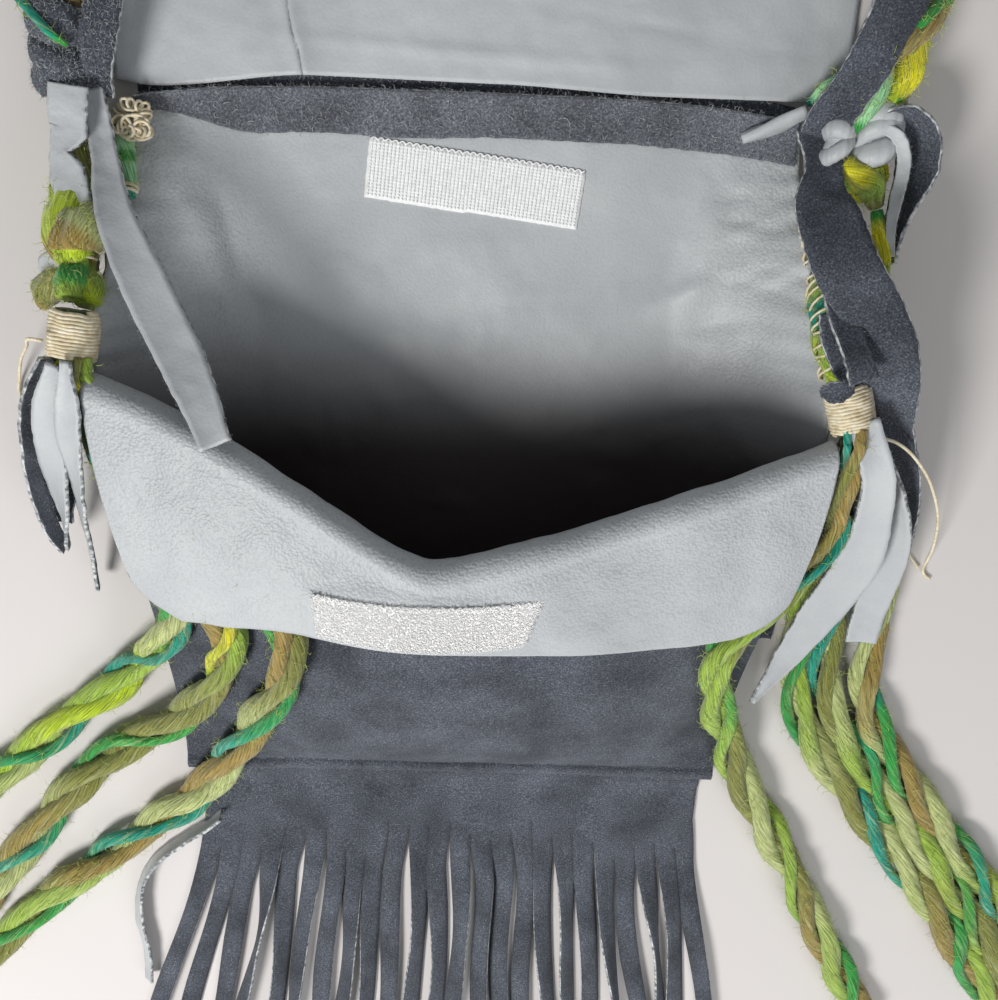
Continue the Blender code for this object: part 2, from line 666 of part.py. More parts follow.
def main():
    clear_scene()
    make_back_panel()
    make_front_panel()
    make_flap()
    make_band()
    make_patch("hook_patch", on_back, HOOK_PLACE)
    make_patch("loop_patch", on_cuff, LOOP_PLACE)
    make_fringe()
    for name, side, knot in (("left", -1, LEFT_KNOT), ("right", 1, RIGHT_KNOT)):
        make_edge_rope(f"{name}_edge_rope", side, knot, material("wool yarn 1", YARN, 0.98))
        make_whipping(f"{name}_whipping", side)
    make_knot("left_strap_knot", LEFT_KNOT, material("suede", SUEDE, 0.95))
    make_knot("right_strap_knot", RIGHT_KNOT, material("grain", GRAIN, 0.5))
    make_strap()
    make_yarns()
    for name, (width, colour, points) in THONGS.items():
        strip(name, width, colour, points)


main()
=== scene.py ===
import math
import random
from functools import partial

import bmesh
import bpy
import numpy as np
from mathutils import Matrix, Vector, noise


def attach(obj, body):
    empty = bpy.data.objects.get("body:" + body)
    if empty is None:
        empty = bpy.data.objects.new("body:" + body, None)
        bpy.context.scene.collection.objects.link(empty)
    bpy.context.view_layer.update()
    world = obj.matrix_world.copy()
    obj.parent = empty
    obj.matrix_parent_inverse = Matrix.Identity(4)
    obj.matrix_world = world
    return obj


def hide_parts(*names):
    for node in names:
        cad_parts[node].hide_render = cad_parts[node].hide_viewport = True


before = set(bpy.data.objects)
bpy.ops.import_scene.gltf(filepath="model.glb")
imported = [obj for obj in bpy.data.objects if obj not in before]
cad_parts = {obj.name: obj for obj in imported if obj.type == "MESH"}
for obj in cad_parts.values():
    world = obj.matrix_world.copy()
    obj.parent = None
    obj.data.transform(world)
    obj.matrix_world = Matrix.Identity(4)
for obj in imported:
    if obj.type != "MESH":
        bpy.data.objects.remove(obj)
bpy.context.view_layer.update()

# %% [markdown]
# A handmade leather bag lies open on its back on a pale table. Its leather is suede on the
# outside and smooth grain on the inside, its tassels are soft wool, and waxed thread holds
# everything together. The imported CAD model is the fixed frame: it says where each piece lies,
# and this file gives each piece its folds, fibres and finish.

MM = 0.001


def add_object(name, data):
    made = bpy.data.objects.new(name, data)
    bpy.context.scene.collection.objects.link(made)
    return made

# %% [markdown]
# The photograph was taken by hand from above the flap, looking down at the mouth. A camera has
# a place and three axes: right, up and back. Tilt leans it, roll and yaw turn it a little.

# %% The camera
TILT, ROLL, YAW = math.radians(21.5), math.radians(-1.8), math.radians(3.85)
CAMERA_PLACE = Vector((6.5, 285.8, 389.0)) * MM
SENSOR_WIDTH, FOCAL_LENGTH = 36, 36.07      # both in millimetres

camera_data = bpy.data.cameras.new("photo camera")
camera_data.sensor_width = SENSOR_WIDTH
camera_data.lens = FOCAL_LENGTH
camera_data.clip_start = 0.01
camera = add_object("photo camera", camera_data)
lean = Matrix.Rotation(TILT, 3, "X").transposed()
turn = Matrix.Rotation(YAW, 3, "Z") @ lean @ Matrix.Rotation(ROLL, 3, "Z")
camera.matrix_world = Matrix.Translation(CAMERA_PLACE) @ turn.to_4x4()
bpy.context.scene.camera = camera
bpy.context.scene.view_settings.view_transform = "Standard"
print("Camera looks along", [round(value, 2) for value in turn @ Vector((0, 0, -1))])

# %% [markdown]
# The studio is plain: a pale table, one large soft lamp on the fringe's side that throws the
# lip's shadow into the pocket, a weaker one from the right, and a dim even sky.


# %% Colours and nodes
def linear(code):
    """An sRGB hex code as the linear colour that Blender's sockets hold."""
    channels = [int(code[k:k + 2], 16) / 255 for k in (1, 3, 5)]
    return (*[c / 12.92 if c <= 0.04045 else ((c + 0.055) / 1.055) ** 2.4 for c in channels], 1.0)


def set_inputs(node, inputs):
    """An input is a value, another node's output socket, or a node: then its first output."""
    for key, value in inputs.items():
        if isinstance(value, bpy.types.Node):
            value = value.outputs[0]
        if isinstance(value, bpy.types.NodeSocket):
            node.id_data.links.new(value, node.inputs[key])
        else:
            node.inputs[key].default_value = value


def add_node(tree, kind, inputs=None, stops=(), **settings):
    """Adds a node with its settings and inputs. Stops are the (place, hex colour) pairs of a
    colour ramp."""
    made = tree.nodes.new(kind)
    for key, value in settings.items():
        setattr(made, key, value)
    set_inputs(made, inputs or {})
    for _ in stops[2:]:
        made.color_ramp.elements.new(0.5)
    for k, (place, code) in enumerate(stops):
        made.color_ramp.elements[k].position = place
        made.color_ramp.elements[k].color = linear(code)
    return made


def new_material(name):
    """A material with only a Principled shader in it, what adds nodes to it, and that shader."""
    made = bpy.data.materials.new(name)
    made.use_nodes = True
    return made, partial(add_node, made.node_tree), made.node_tree.nodes["Principled BSDF"]


# %% Table, lamps and sky
def add_lamp(name, place, target, size, power, hex_colour):
    data = bpy.data.lights.new(name, "AREA")
    data.shape = "DISK"
    data.size = size
    data.energy = power
    data.color = linear(hex_colour)[:3]
    lamp = add_object(name, data)
    lamp.location = place
    lamp.rotation_euler = (Vector(target) - Vector(place)).to_track_quat("-Z", "Y").to_euler()


table_material, node, shader = new_material("painted table board, matt warm white")
table_noise = node("ShaderNodeTexNoise", {"Scale": 3.0, "Detail": 2.0})
table_tone = node("ShaderNodeValToRGB", {"Fac": table_noise}, [(0.3, "#D2CECC"), (0.7, "#DAD6D5")])
set_inputs(shader, {"Base Color": table_tone, "Roughness": 0.75})
bpy.ops.mesh.primitive_plane_add(size=6, location=(0, 0.2, 0))
table = bpy.context.object
table.name = "table"
table.data.materials.append(table_material)

add_lamp("key", (-0.62, -0.50, 1.02), (0, 0.13, 0.02), 0.46, 15.5, "#FFFDFA")
add_lamp("fill", (0.70, -0.75, 0.80), (0, 0.10, 0), 0.9, 5.0, "#FFFFFF")
world = bpy.data.worlds.new("studio sky")
world.use_nodes = True
set_inputs(world.node_tree.nodes["Background"], {"Color": linear("#EEF0F4"), "Strength": 0.33})
bpy.context.scene.world = world
print("Lamps:", len(bpy.data.lights))

# %% [markdown]
# The leather is thin chrome-tanned hide, dyed through. Its grain side is matt and pebbled: cells
# about a millimetre across, with shallow creases where it was milled soft. Its split side was
# brushed into suede, whose nap is a felt of dark fibres with pale tips. Where it is cut, the
# paler core shows. Voronoi cells give the pebbles and layered noise gives creases and nap.


# %% Leather finishes
def grain_leather(name, pocket=False):
    """Grain side. The pebbles stand open where the hide was bent, which a point attribute tells,
    and there the pores are painted darker: painted shade on the folds. With pocket set, the grain
    is painted dark deep in the pocket: painted shade under the lip."""
    made, node, shader = new_material(name)
    place = node("ShaderNodeTexCoord").outputs["Object"]
    bend_and_shade = node("ShaderNodeAttribute", attribute_name="bend_and_shade").outputs["Fac"]
    tone = node("ShaderNodeTexNoise", {"Vector": place, "Scale": 22.0, "Detail": 3.0})
    hide = node("ShaderNodeValToRGB", {"Fac": tone}, [(0.3, "#B0B4B7"), (0.55, "#BABEC1"), (0.75, "#C3C7C9")])
    pebble = node("ShaderNodeTexVoronoi", {"Vector": place, "Scale": 1000.0, "Randomness": 0.9},
                  feature="SMOOTH_F1")
    pores = node("ShaderNodeMapRange", {"Value": pebble, "From Min": 0.3, "From Max": 0.8})
    # The pores are painted darker, a little everywhere and most on the folds: painted shade in their hollows
    # and on the folds
    pore_shade_amount = node("ShaderNodeMapRange", {"Value": bend_and_shade, "To Min": 0.08, "To Max": 0.32})
    pore_shade = node("ShaderNodeMath", {0: pores, 1: pore_shade_amount}, operation="MULTIPLY")
    pored = node("ShaderNodeMix", {0: pore_shade, 6: hide, 7: linear("#7C8084")}, data_type="RGBA")
    # Fine wrinkles: the borders of cells six millimetres wide, bent by noise, in some places only.
    # They are painted a little darker: painted shade in the creases
    warp = node("ShaderNodeTexNoise", {"Vector": place, "Scale": 110.0, "Detail": 2.0})
    warped = node("ShaderNodeVectorMath", {0: warp.outputs["Color"], 1: (0.007, 0.007, 0.007), 2: place},
                  operation="MULTIPLY_ADD")
    cells = node("ShaderNodeTexVoronoi", {"Vector": warped, "Scale": 165.0}, feature="DISTANCE_TO_EDGE")
    line = node("ShaderNodeMapRange", {"Value": cells, "From Max": 0.03, "To Min": 1.0, "To Max": 0.0},
                interpolation_type="SMOOTHSTEP")
    somewhere = node("ShaderNodeTexNoise", {"Vector": place, "Scale": 17.0, "Detail": 1.0})
    often = node("ShaderNodeMath", {0: bend_and_shade, 1: 0.12, 2: somewhere}, operation="MULTIPLY_ADD")
    patches = node("ShaderNodeMapRange", {"Value": often, "From Min": 0.6, "From Max": 0.74})
    wrinkle = node("ShaderNodeMath", {0: line, 1: patches}, operation="MULTIPLY")
    crease_shade = node("ShaderNodeMath", {0: wrinkle, 1: 0.07}, operation="MULTIPLY")
    shaded = node("ShaderNodeMix", {0: crease_shade, 6: pored.outputs[2], 7: linear("#6E7276")}, data_type="RGBA")
    if pocket:
        # Painted shade: deep in the pocket, where the lip shadows it, the grain is painted dark
        depth = node("ShaderNodeSeparateXYZ", {0: place})
        pocket_shade_mask = node("ShaderNodeMapRange", {"Value": depth.outputs[1], "From Min": 0.150, "From Max": 0.215,
                                             "To Min": 1.0, "To Max": 0.0}, interpolation_type="SMOOTHSTEP")
        shaded = node("ShaderNodeMix", {0: pocket_shade_mask, 6: shaded.outputs[2], 7: linear("#332D2C")},
                      data_type="RGBA")
    open_pebble = node("ShaderNodeMapRange", {"Value": bend_and_shade, "To Min": 0.22, "To Max": 1.0})
    fine = node("ShaderNodeBump", {"Strength": open_pebble, "Distance": 0.3 * MM, "Height": pebble},
                invert=True)
    lined = node("ShaderNodeBump", {"Strength": 0.14, "Distance": 0.3 * MM, "Height": wrinkle, "Normal": fine},
                 invert=True)
    milled = node("ShaderNodeTexNoise", {"Vector": place, "Scale": 130.0, "Detail": 3.0})
    broad = node("ShaderNodeBump", {"Strength": 0.16, "Distance": 1.0 * MM, "Height": milled, "Normal": lined})
    gloss = node("ShaderNodeMapRange", {"Value": tone, "To Min": 0.42, "To Max": 0.56})
    set_inputs(shader, {"Base Color": shaded.outputs[2], "Normal": broad, "Roughness": gloss, "IOR": 1.45})
    return made


def suede(name, dark, middle, light, tips):
    """Brushed split: nap speckle about a millimetre across over broad brushed patches."""
    made, node, shader = new_material(name)
    place = node("ShaderNodeTexCoord").outputs["Object"]
    nap = node("ShaderNodeTexNoise", {"Vector": place, "Scale": 1400.0, "Detail": 3.0, "Roughness": 0.75})
    speckle = node("ShaderNodeValToRGB", {"Fac": nap},
                   [(0.33, dark), (0.5, middle), (0.62, light), (0.74, tips)])
    patch = node("ShaderNodeTexNoise", {"Vector": place, "Scale": 38.0, "Detail": 4.0})
    brushed = node("ShaderNodeValToRGB", {"Fac": patch}, [(0.3, "#B4B4B4"), (0.7, "#FFFFFF")])
    shade = node("ShaderNodeMix", {0: 1.0, 6: speckle, 7: brushed}, data_type="RGBA", blend_type="MULTIPLY")
    bump = node("ShaderNodeBump", {"Strength": 0.7, "Distance": 0.5 * MM, "Height": nap})
    set_inputs(shader, {"Base Color": shade.outputs[2], "Normal": bump, "Roughness": 0.95,
                        "Specular IOR Level": 0.15, "Sheen Weight": 0.12})
    return made


def cut_edge():
    made, node, shader = new_material("raw cut leather edge, pale fibres")
    place = node("ShaderNodeTexCoord").outputs["Object"]
    fibre = node("ShaderNodeTexNoise", {"Vector": place, "Scale": 420.0, "Detail": 4.0})
    colour = node("ShaderNodeValToRGB", {"Fac": fibre},
                  [(0.36, "#62666B"), (0.5, "#A3A7AA"), (0.62, "#D6D8D8")])
    set_inputs(shader, {"Base Color": colour, "Roughness": 0.9})
    return made


GRAIN = grain_leather("chrome-tanned grain leather, milled, light grey")
# The same grain with painted shade deep in the pocket, for the back panel
SHADED_POCKET_GRAIN = grain_leather("chrome-tanned grain leather, unpolished in the pocket", pocket=True)
SUEDE = suede("brushed suede split, slate grey", "#3B3F47", "#575C66", "#747A85", "#A7ABB2")
BAND_SUEDE = suede("suede split, nap raised by wear", "#4E525A", "#73777F", "#9397A0", "#C0C3C8")
EDGE = cut_edge()
print("Leather finishes:", GRAIN.name, "/", SUEDE.name, "/", EDGE.name)

# %% [markdown]
# Every panel is a sheet with a suede face, a grain face and a pale rim. One helper makes them
# all: it joins rows of points into a grid, gives the grid a wall with Solidify, and lets the
# modifier's material offsets put the second finish on the other face and the third on the rim.

# %% Sheets of leather
LEATHER = 1.4 * MM
SEAT = 0.3 * MM
LAYER = LEATHER + SEAT


def finished(source, name):
    """The evaluated shape of an object as a plain mesh object; the source is removed."""
    view = bpy.context.evaluated_depsgraph_get()
    mesh = bpy.data.meshes.new_from_object(source.evaluated_get(view), depsgraph=view)
    bpy.data.objects.remove(source, do_unlink=True)
    mesh.name = name
    return add_object(name, mesh)


def grid_object(name, points):
    """A quad grid from an array of rows of points."""
    points = np.asarray(points, dtype=float)
    rows, columns = points.shape[:2]
    index = np.arange(rows * columns).reshape(rows, columns)
    quads = np.stack([index[:-1, :-1], index[:-1, 1:], index[1:, 1:], index[1:, :-1]], axis=-1)
    mesh = bpy.data.meshes.new(name)
    mesh.from_pydata(points.reshape(-1, 3).tolist(), [], quads.reshape(-1, 4).tolist())
    return add_object(name, mesh)


def walled(sheet, name, finishes, thickness, even=False):
    """A sheet with a wall. finishes: the face its normals point to, the other, the rim."""
    for finish in finishes:
        sheet.data.materials.append(finish)
    wall = sheet.modifiers.new("leather thickness", "SOLIDIFY")
    wall.thickness = thickness
    wall.offset = 0.0
    wall.use_even_offset = even
    wall.material_offset = 1
    wall.material_offset_rim = 2
    made = finished(sheet, name)
    made.data.shade_smooth()
    return made


def hand_over(made, node=None, body="bag"):
    """Hangs a piece on the empty of the body it rides on, and hides the CAD solid that it dresses."""
    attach(made, body)
    if node:
        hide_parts(node)


def leather(name, points, finishes, body, node=None, thickness=LEATHER, even=True, bend_and_shade=None):
    sheet = grid_object(name, points)
    if bend_and_shade is not None:
        sheet.data.attributes.new("bend_and_shade", "FLOAT", "POINT").data.foreach_set("value", bend_and_shade.ravel())
    made = walled(sheet, name, finishes, thickness, even)
    hand_over(made, node, body)
    return made


def lift_normals(points, heights):
    """Moves each point of a grid along the grid's normal by its height."""
    across = np.gradient(points, axis=1)
    along = np.gradient(points, axis=0)
    normals = np.cross(across, along)
    normals /= np.linalg.norm(normals, axis=2, keepdims=True) + 1e-12
    return points + normals * heights[..., None]


def rumple(points, size, depth, seed):
    """Layered noise heights for a grid: soft dents of about `size` metres."""
    shift = Vector((seed * 3.1, seed * 1.7, seed * 0.9))
    flat = points.reshape(-1, 3)
    values = [noise.fractal(Vector(point) / size + shift, 0.6, 2.1, 3) for point in flat]
    return depth * np.array(values).reshape(points.shape[:2])


def below_patch(points, x, y):
    """1 where a tape patch is sewn on, falling to 0 round it: the tape holds the leather flat."""
    across = np.clip((46 * MM - np.abs(points[..., 0] - x)) / (6 * MM), 0, 1)
    return across * np.clip((17 * MM - np.abs(points[..., 1] - y)) / (5 * MM), 0, 1)


def fold(points, start, end, width, height):
    """A soft ridge (or valley) along a straight line seen from above."""
    start, end = np.array(start) * MM, np.array(end) * MM
    run = end - start
    share = ((points[..., :2] - start) @ run) / (run @ run)
    inside = np.clip(share, 0, 1)
    nearest = start + inside[..., None] * run
    away = np.linalg.norm(points[..., :2] - nearest, axis=2) / (width * MM)
    return height * MM * np.exp(-away**2) * np.sin(np.pi * np.clip(share, 0.02, 0.98)) ** 0.5


# %% [markdown]
# The back panel is a shallow scoop: flat in the middle, its side edges drawn up to the mouth
# corners and down again to the top. The couching stitches gather its edge into small puckers.

# %% Back panel shape
BODY_LENGTH = 284 * MM
TOP_BOW = 6 * MM
BOTTOM_WIDTH = 240 * MM
MOUTH_WIDTH = 262 * MM
MOUTH_SHIFT = 3 * MM
TOP_WIDTH = 240 * MM
SEAM_LENGTH = 187 * MM
MOUTH_SKEW = 8 * MM
FLAT_SHARE = 0.60
BOTTOM_LIFT = 1.5 * MM
CORNER_LIFT = 43 * MM
TOP_LIFT = 4 * MM
STITCH_PITCH = 9 * MM
PUCKER, PUCKER_PITCH = 1.3 * MM, 26 * MM


def ease(t):
    t = min(max(t, 0.0), 1.0)
    return t * t * (3 - 2 * t)


def along(stations, value):
    """A smooth curve through (place, height) stations."""
    for (start, low), (end, high) in zip(stations, stations[1:]):
        if value <= end:
            return low + (high - low) * ease((value - start) / (end - start))
    return stations[-1][1]


def seam_end(side):
    return SEAM_LENGTH - side * MOUTH_SKEW


def half_width(y, side):
    mouth = MOUTH_WIDTH + side * 2 * MOUTH_SHIFT
    return along([(0, BOTTOM_WIDTH), (seam_end(side), mouth), (BODY_LENGTH, TOP_WIDTH)], y) / 2


def edge_lift(y, side):
    return along([(0, BOTTOM_LIFT), (seam_end(side), CORNER_LIFT), (BODY_LENGTH, TOP_LIFT)], y)


def curl(u):
    return max(0.0, (abs(u) - FLAT_SHARE) / (1 - FLAT_SHARE)) ** 2


def back_point(u, y):
    side = 1 if u > 0 else -1
    above = (y - seam_end(side)) / (BODY_LENGTH - seam_end(side))
    gathers = ease(4 * above) * ease(4 * (0.84 - above))
    pucker = PUCKER * gathers * math.sin(2 * math.pi * y / PUCKER_PITCH)
    bow = TOP_BOW * (1 - u**4) * ease(above)
    return Vector((u * half_width(y, side), y + bow,
                   LEATHER / 2 + edge_lift(y, side) * curl(u) + pucker * curl(u)))


def spaced(count, low=-1.0, high=1.0):
    return [low + (high - low) * k / count for k in range(count + 1)]


def surface_grid(surface, us, vs):
    return np.array([[surface(u, v) for u in us] for v in vs])


back = surface_grid(back_point, spaced(150), spaced(170, 0, BODY_LENGTH))
edge_near = np.array([[abs(u) for u in spaced(150)]] * 171)
up_edge = np.clip((back[..., 1] - 0.19) / 0.01, 0, 1) * np.clip((0.272 - back[..., 1]) / 0.01, 0, 1)
gather = np.sin(2 * math.pi * back[..., 1] / STITCH_PITCH) * np.exp(-(1 - edge_near) / 0.06)
heights = 0.9 * MM * gather * up_edge
heights += rumple(back, 42 * MM, 0.9 * MM, 1) * np.clip(back[..., 1] / 0.05, 0, 1)
heights += rumple(back, 13 * MM, 0.28 * MM, 2)
inner = np.clip((0.268 - back[..., 1]) / 0.02, 0, 1)
heights += inner * fold(back, (-104, 262), (-86, 196), 7, 3.2)
heights += inner * fold(back, (-88, 258), (-60, 190), 9, -2.2)
heights += inner * fold(back, (96, 262), (84, 200), 8, 2.6)
heights += inner * fold(back, (112, 236), (70, 214), 4, 1.6)
heights += inner * fold(back, (114, 214), (74, 206), 4, -1.3)
for start, end, width, height in (((119, 274), (92, 266), 2.6, 1.5), ((119, 268), (96, 256), 2.4, -1.1),
                                  ((119, 262), (90, 262), 2.6, 1.2), ((120, 255), (98, 243), 2.6, 1.4),
                                  ((120, 246), (94, 250), 2.2, -1.0), ((122, 234), (104, 224), 2.6, 1.4),
                                  ((123, 226), (92, 228), 2.4, -1.0)):
    heights += inner * fold(back, start, end, width, height)
heights = np.where(back[..., 2] < 2.5 * MM, np.maximum(heights, 0), heights)
heights *= 1 - 0.85 * below_patch(back, 3 * MM, 254 * MM)
# Along the curled side edges and on a patch beside the left thong the pebbles open and their pores are painted
# darker: painted shade; the patch lies on a shaded fold band
bent_and_shaded = np.clip(1 - np.abs(np.abs(back[..., 0]) - 0.112) / 0.03, 0, 1) * (back[..., 1] > 0.19)
band_shade_distance = ((back[..., 0] + 0.095) / 0.022) ** 2 + ((back[..., 1] - 0.225) / 0.03) ** 2
bent_and_shaded = np.maximum(bent_and_shaded, 0.9 * np.exp(-band_shade_distance))
back_panel = leather("back_panel_leather", lift_normals(back, heights), (SHADED_POCKET_GRAIN, SUEDE, EDGE), "bag",
                     "back_panel", bend_and_shade=0.12 + 0.88 * bent_and_shaded)
print("Back panel:", len(back_panel.data.polygons), "faces")

# %% [markdown]
# The front panel is one sheet too. It bulges up from the bottom seam, rolls over a soft lip that
# dips in the middle, and its free end falls outwards as a cuff, so its grain side comes out.

# %% Front panel shape
SEAM_ALLOWANCE = 6 * MM
LIP_Y = 132 * MM
LIP_HEIGHT = 62 * MM
DIP_PLACE = -0.06
DIP_ROUNDING = 0.10
LEFT_LIP_FULLNESS = 1.35
LIP_ROLL = 7 * MM
ROLL_START, ROLL_END = -60, 110
CUFF_DROP = 36 * MM
CUFF_STAND_OFF = 16 * MM
CUFF_CORNER = 24 * MM
CUFF_CORNER_START = 0.68
CUFF_TAPER = 0.04


def lip_y(u):
    side = 1 if u > DIP_PLACE else -1
    share = abs(u - DIP_PLACE) / (1 - side * DIP_PLACE)
    rounded = math.hypot(share, DIP_ROUNDING) - DIP_ROUNDING
    rounded /= math.hypot(1, DIP_ROUNDING) - DIP_ROUNDING
    if side < 0:
        rounded = 1 - (1 - min(rounded, 1)) ** LEFT_LIP_FULLNESS
    return LIP_Y + (seam_end(side) - LIP_Y) * rounded


def roll_offset(degrees):
    return LIP_ROLL * math.cos(math.radians(degrees)), LIP_ROLL * math.sin(math.radians(degrees))


def body_end_y(u):
    return lip_y(u) - LIP_ROLL + roll_offset(ROLL_START)[0]


def side_height(y, side):
    layers = along([(0, 2 * LAYER), (3 * SEAM_ALLOWANCE, LAYER)], y)
    return LEATHER / 2 + edge_lift(y, side) + layers


def body_height(u, y):
    side = 1 if u > 0 else -1
    base = LEATHER / 2 + 2 * LAYER
    top = LIP_HEIGHT + roll_offset(ROLL_START)[1]
    share = (y - SEAM_ALLOWANCE) / (body_end_y(u) - SEAM_ALLOWANCE)
    rise = (1 - (1 - min(max(share, 0), 1)) ** 2) ** 0.75
    edge = abs(u) ** 3
    return (base + (top - base) * rise) * (1 - edge) + side_height(y, side) * edge


def body_point(u, y):
    side = 1 if u > 0 else -1
    return Vector((u * half_width(y, side), y, body_height(u, y)))


def roll_point(u, degrees):
    side = 1 if u > 0 else -1
    end = body_point(u, body_end_y(u))
    start_y, start_z = roll_offset(ROLL_START)
    here_y, here_z = roll_offset(degrees)
    return Vector((u * half_width(lip_y(u), side), end.y - start_y + here_y, end.z - start_z + here_z))


def cuff_reach(u):
    corner = max(0.0, (abs(u) - CUFF_CORNER_START) / (1 - CUFF_CORNER_START))
    rounding = CUFF_CORNER * (1 - math.sqrt(1 - corner**2))
    drawn_up = 3 * MM + 4 * MM * math.exp(-((u + 0.5) / 0.2) ** 2)
    return roll_point(u, ROLL_END).y - (LIP_Y - CUFF_DROP) - max(rounding, drawn_up)


def cuff_point(u, share):
    start = roll_point(u, ROLL_END)
    free_y = start.y - cuff_reach(u)
    free_z = body_height(u, free_y) + CUFF_STAND_OFF
    z = start.z + (free_z - start.z) * (0.55 * share + 0.45 * share**2)
    return Vector((start.x * (1 - CUFF_TAPER * share**2), start.y - cuff_reach(u) * share, z))


# The side columns crowd together, so that the cuff's rounded corners stay smooth.
PLACES = [0.45 * u + 0.55 * math.sin(math.pi / 2 * u) for u in spaced(170)]
rows = [[body_point(u, SEAM_ALLOWANCE * share) for u in PLACES] for share in spaced(4, 0, 1)]
rows += [[body_point(u, SEAM_ALLOWANCE + (body_end_y(u) - SEAM_ALLOWANCE) * share**1.3) for u in PLACES]
         for share in spaced(70, 0, 1)[1:]]
rows += [[roll_point(u, degrees) for u in PLACES] for degrees in spaced(16, ROLL_START, ROLL_END)[1:]]
cuff_start = len(rows)
rows += [[cuff_point(u, share) for u in PLACES] for share in spaced(50, 0, 1)[1:]]
front = np.array(rows)
row_place = np.arange(len(front))[:, None] * np.ones((1, len(PLACES)))
on_cuff_mask = np.clip((row_place - cuff_start + 14) / 20, 0, 1)
calm = 1 - np.exp(-(1 - np.abs(np.array(PLACES)))[None, :] / 0.05)
heights = rumple(front, 30 * MM, 0.7 * MM, 5) * (1 - on_cuff_mask) * calm
heights += rumple(front, 55 * MM, 1.6 * MM, 6) * on_cuff_mask * calm
heights += rumple(front, 9 * MM, 0.18 * MM, 7) * on_cuff_mask * calm
heights *= 1 - 0.9 * below_patch(front, -11 * MM, 107.5 * MM) * on_cuff_mask
seam_bead = 1.5 * MM * np.exp(-((front[..., 1] - 3.0 * MM) / (2.0 * MM)) ** 2) * (row_place < 30)
# From the lip's fold down the cuff the pebbles open and their pores are painted darker: painted shade on the
# fold
from_fold = (row_place - cuff_start) / 50
opened_and_shaded = 0.18 + 0.82 * np.clip(1.15 - from_fold * (1.3 - 0.5 * np.abs(PLACES)[None, :]), 0, 1)
front_panel = leather("front_panel_leather", lift_normals(front, heights + seam_bead),
                      (SUEDE, GRAIN, EDGE), "bag", "front_panel", even=False, bend_and_shade=opened_and_shaded)
print("Front panel:", len(front_panel.data.polygons), "faces")

# %% [markdown]
# The flap is folded back onto the table with its grain side up. Its leather was carried folded,
# so it keeps a few long creases and shallow waves.

# %% Flap
FLAP_WIDTH = 260 * MM
FLAP_LENGTH = 190 * MM
FLAP_SHIFT = 5 * MM
FLAP_CORNER = 28 * MM
FLAP_WAVE = 2.2 * MM
HINGE_HEIGHT = 3.2 * MM
HINGE_Y = BODY_LENGTH + TOP_BOW + LEATHER / 2 + SEAT / 2


# The fold wanders a little off the hinge line, (x, distance along y)
FOLD_LINE = [(-130 * MM, -0.5 * MM), (-112 * MM, -2.8 * MM), (-55 * MM, 2.6 * MM), (10 * MM, 2.2 * MM),
             (70 * MM, 0.2 * MM), (135 * MM, 0.4 * MM)]


def flap_half_width(down):
    left = FLAP_LENGTH - down
    if left >= FLAP_CORNER:
        return FLAP_WIDTH / 2
    return FLAP_WIDTH / 2 - FLAP_CORNER + math.sqrt(FLAP_CORNER**2 - (FLAP_CORNER - left) ** 2)


def flap_point(u, down):
    x = FLAP_SHIFT + u * flap_half_width(down)
    drop = ease(down / (0.2 * FLAP_LENGTH))
    wave = FLAP_WAVE * (1 + math.sin(34 * x + 21 * down) * math.cos(26 * down)) / 2
    bowed = along(FOLD_LINE, x) * (1 - ease(down / (40 * MM)))
    lying = LEATHER / 2 + SEAT + wave
    return Vector((x, HINGE_Y + down + bowed, HINGE_HEIGHT * (1 - drop) + lying * drop))


# Rows crowd at the rounded corners and columns at the long crease, given as (x, y) in millimetres
CREASE = [(-58.3, 288), (-58.3, 292), (-59.9, 301), (-62.1, 308), (-63.5, 316), (-64, 330), (-67, 420)]
flap_rows = spaced(110, 0, 0.93 * FLAP_LENGTH)
flap_rows += [FLAP_LENGTH * (1 - 0.07 * (1 - k / 14) ** 2) for k in range(1, 15)]
crease_columns = [(-0.0616 - FLAP_SHIFT + 0.5 * MM * k) / (FLAP_WIDTH / 2) for k in range(-14, 15)]
flap_grid = surface_grid(flap_point, sorted(spaced(140) + crease_columns), flap_rows)
heights = rumple(flap_grid, 28 * MM, 0.5 * MM, 11) + rumple(flap_grid, 9 * MM, 0.2 * MM, 12)
creased_x = np.interp(flap_grid[..., 1], [y * MM for _, y in CREASE], [x * MM for x, _ in CREASE])
from_crease = flap_grid[..., 0] - creased_x
heights += 1.0 * MM * np.exp(-(from_crease / (4 * MM)) ** 2)
heights -= 1.1 * MM * np.exp(-(from_crease / (0.6 * MM)) ** 2)
heights += fold(flap_grid, (-70, 306), (60, 300), 2.4, 0.7)
heights += fold(flap_grid, (20, 320), (120, 306), 2.0, -0.6)
heights = np.where(np.abs(from_crease) > 2 * MM, np.maximum(heights, -0.25 * MM), heights)
flap_leather = leather("flap_leather", lift_normals(flap_grid, heights), (GRAIN, SUEDE, EDGE), "flap", "flap")
# A strip of dark suede under the flap's fold edge: painted shadow, it stands for the shade in the gap between
# the flap and the band
flap_gap_shadow_strip = np.array([[(x, back_point(x / half_width(BODY_LENGTH, 1), BODY_LENGTH).y + (0.4 + 4.5 * down) * MM,
                         0.8 * MM) for x in spaced(100, -118 * MM, 118 * MM)] for down in spaced(4, 0, 1)])
flap_gap_shadow_strip = leather("fold_strip_suede", flap_gap_shadow_strip, (SUEDE, GRAIN, EDGE), "bag", thickness=1.0 * MM)
print("Flap:", len(flap_leather.data.polygons), "faces")

# %% [markdown]
# A suede band strengthens the top edge, and the fringe is caught in the bottom seam. The fringe
# was slit with scissors, so its strips twist by chance and now and then show their grain side.


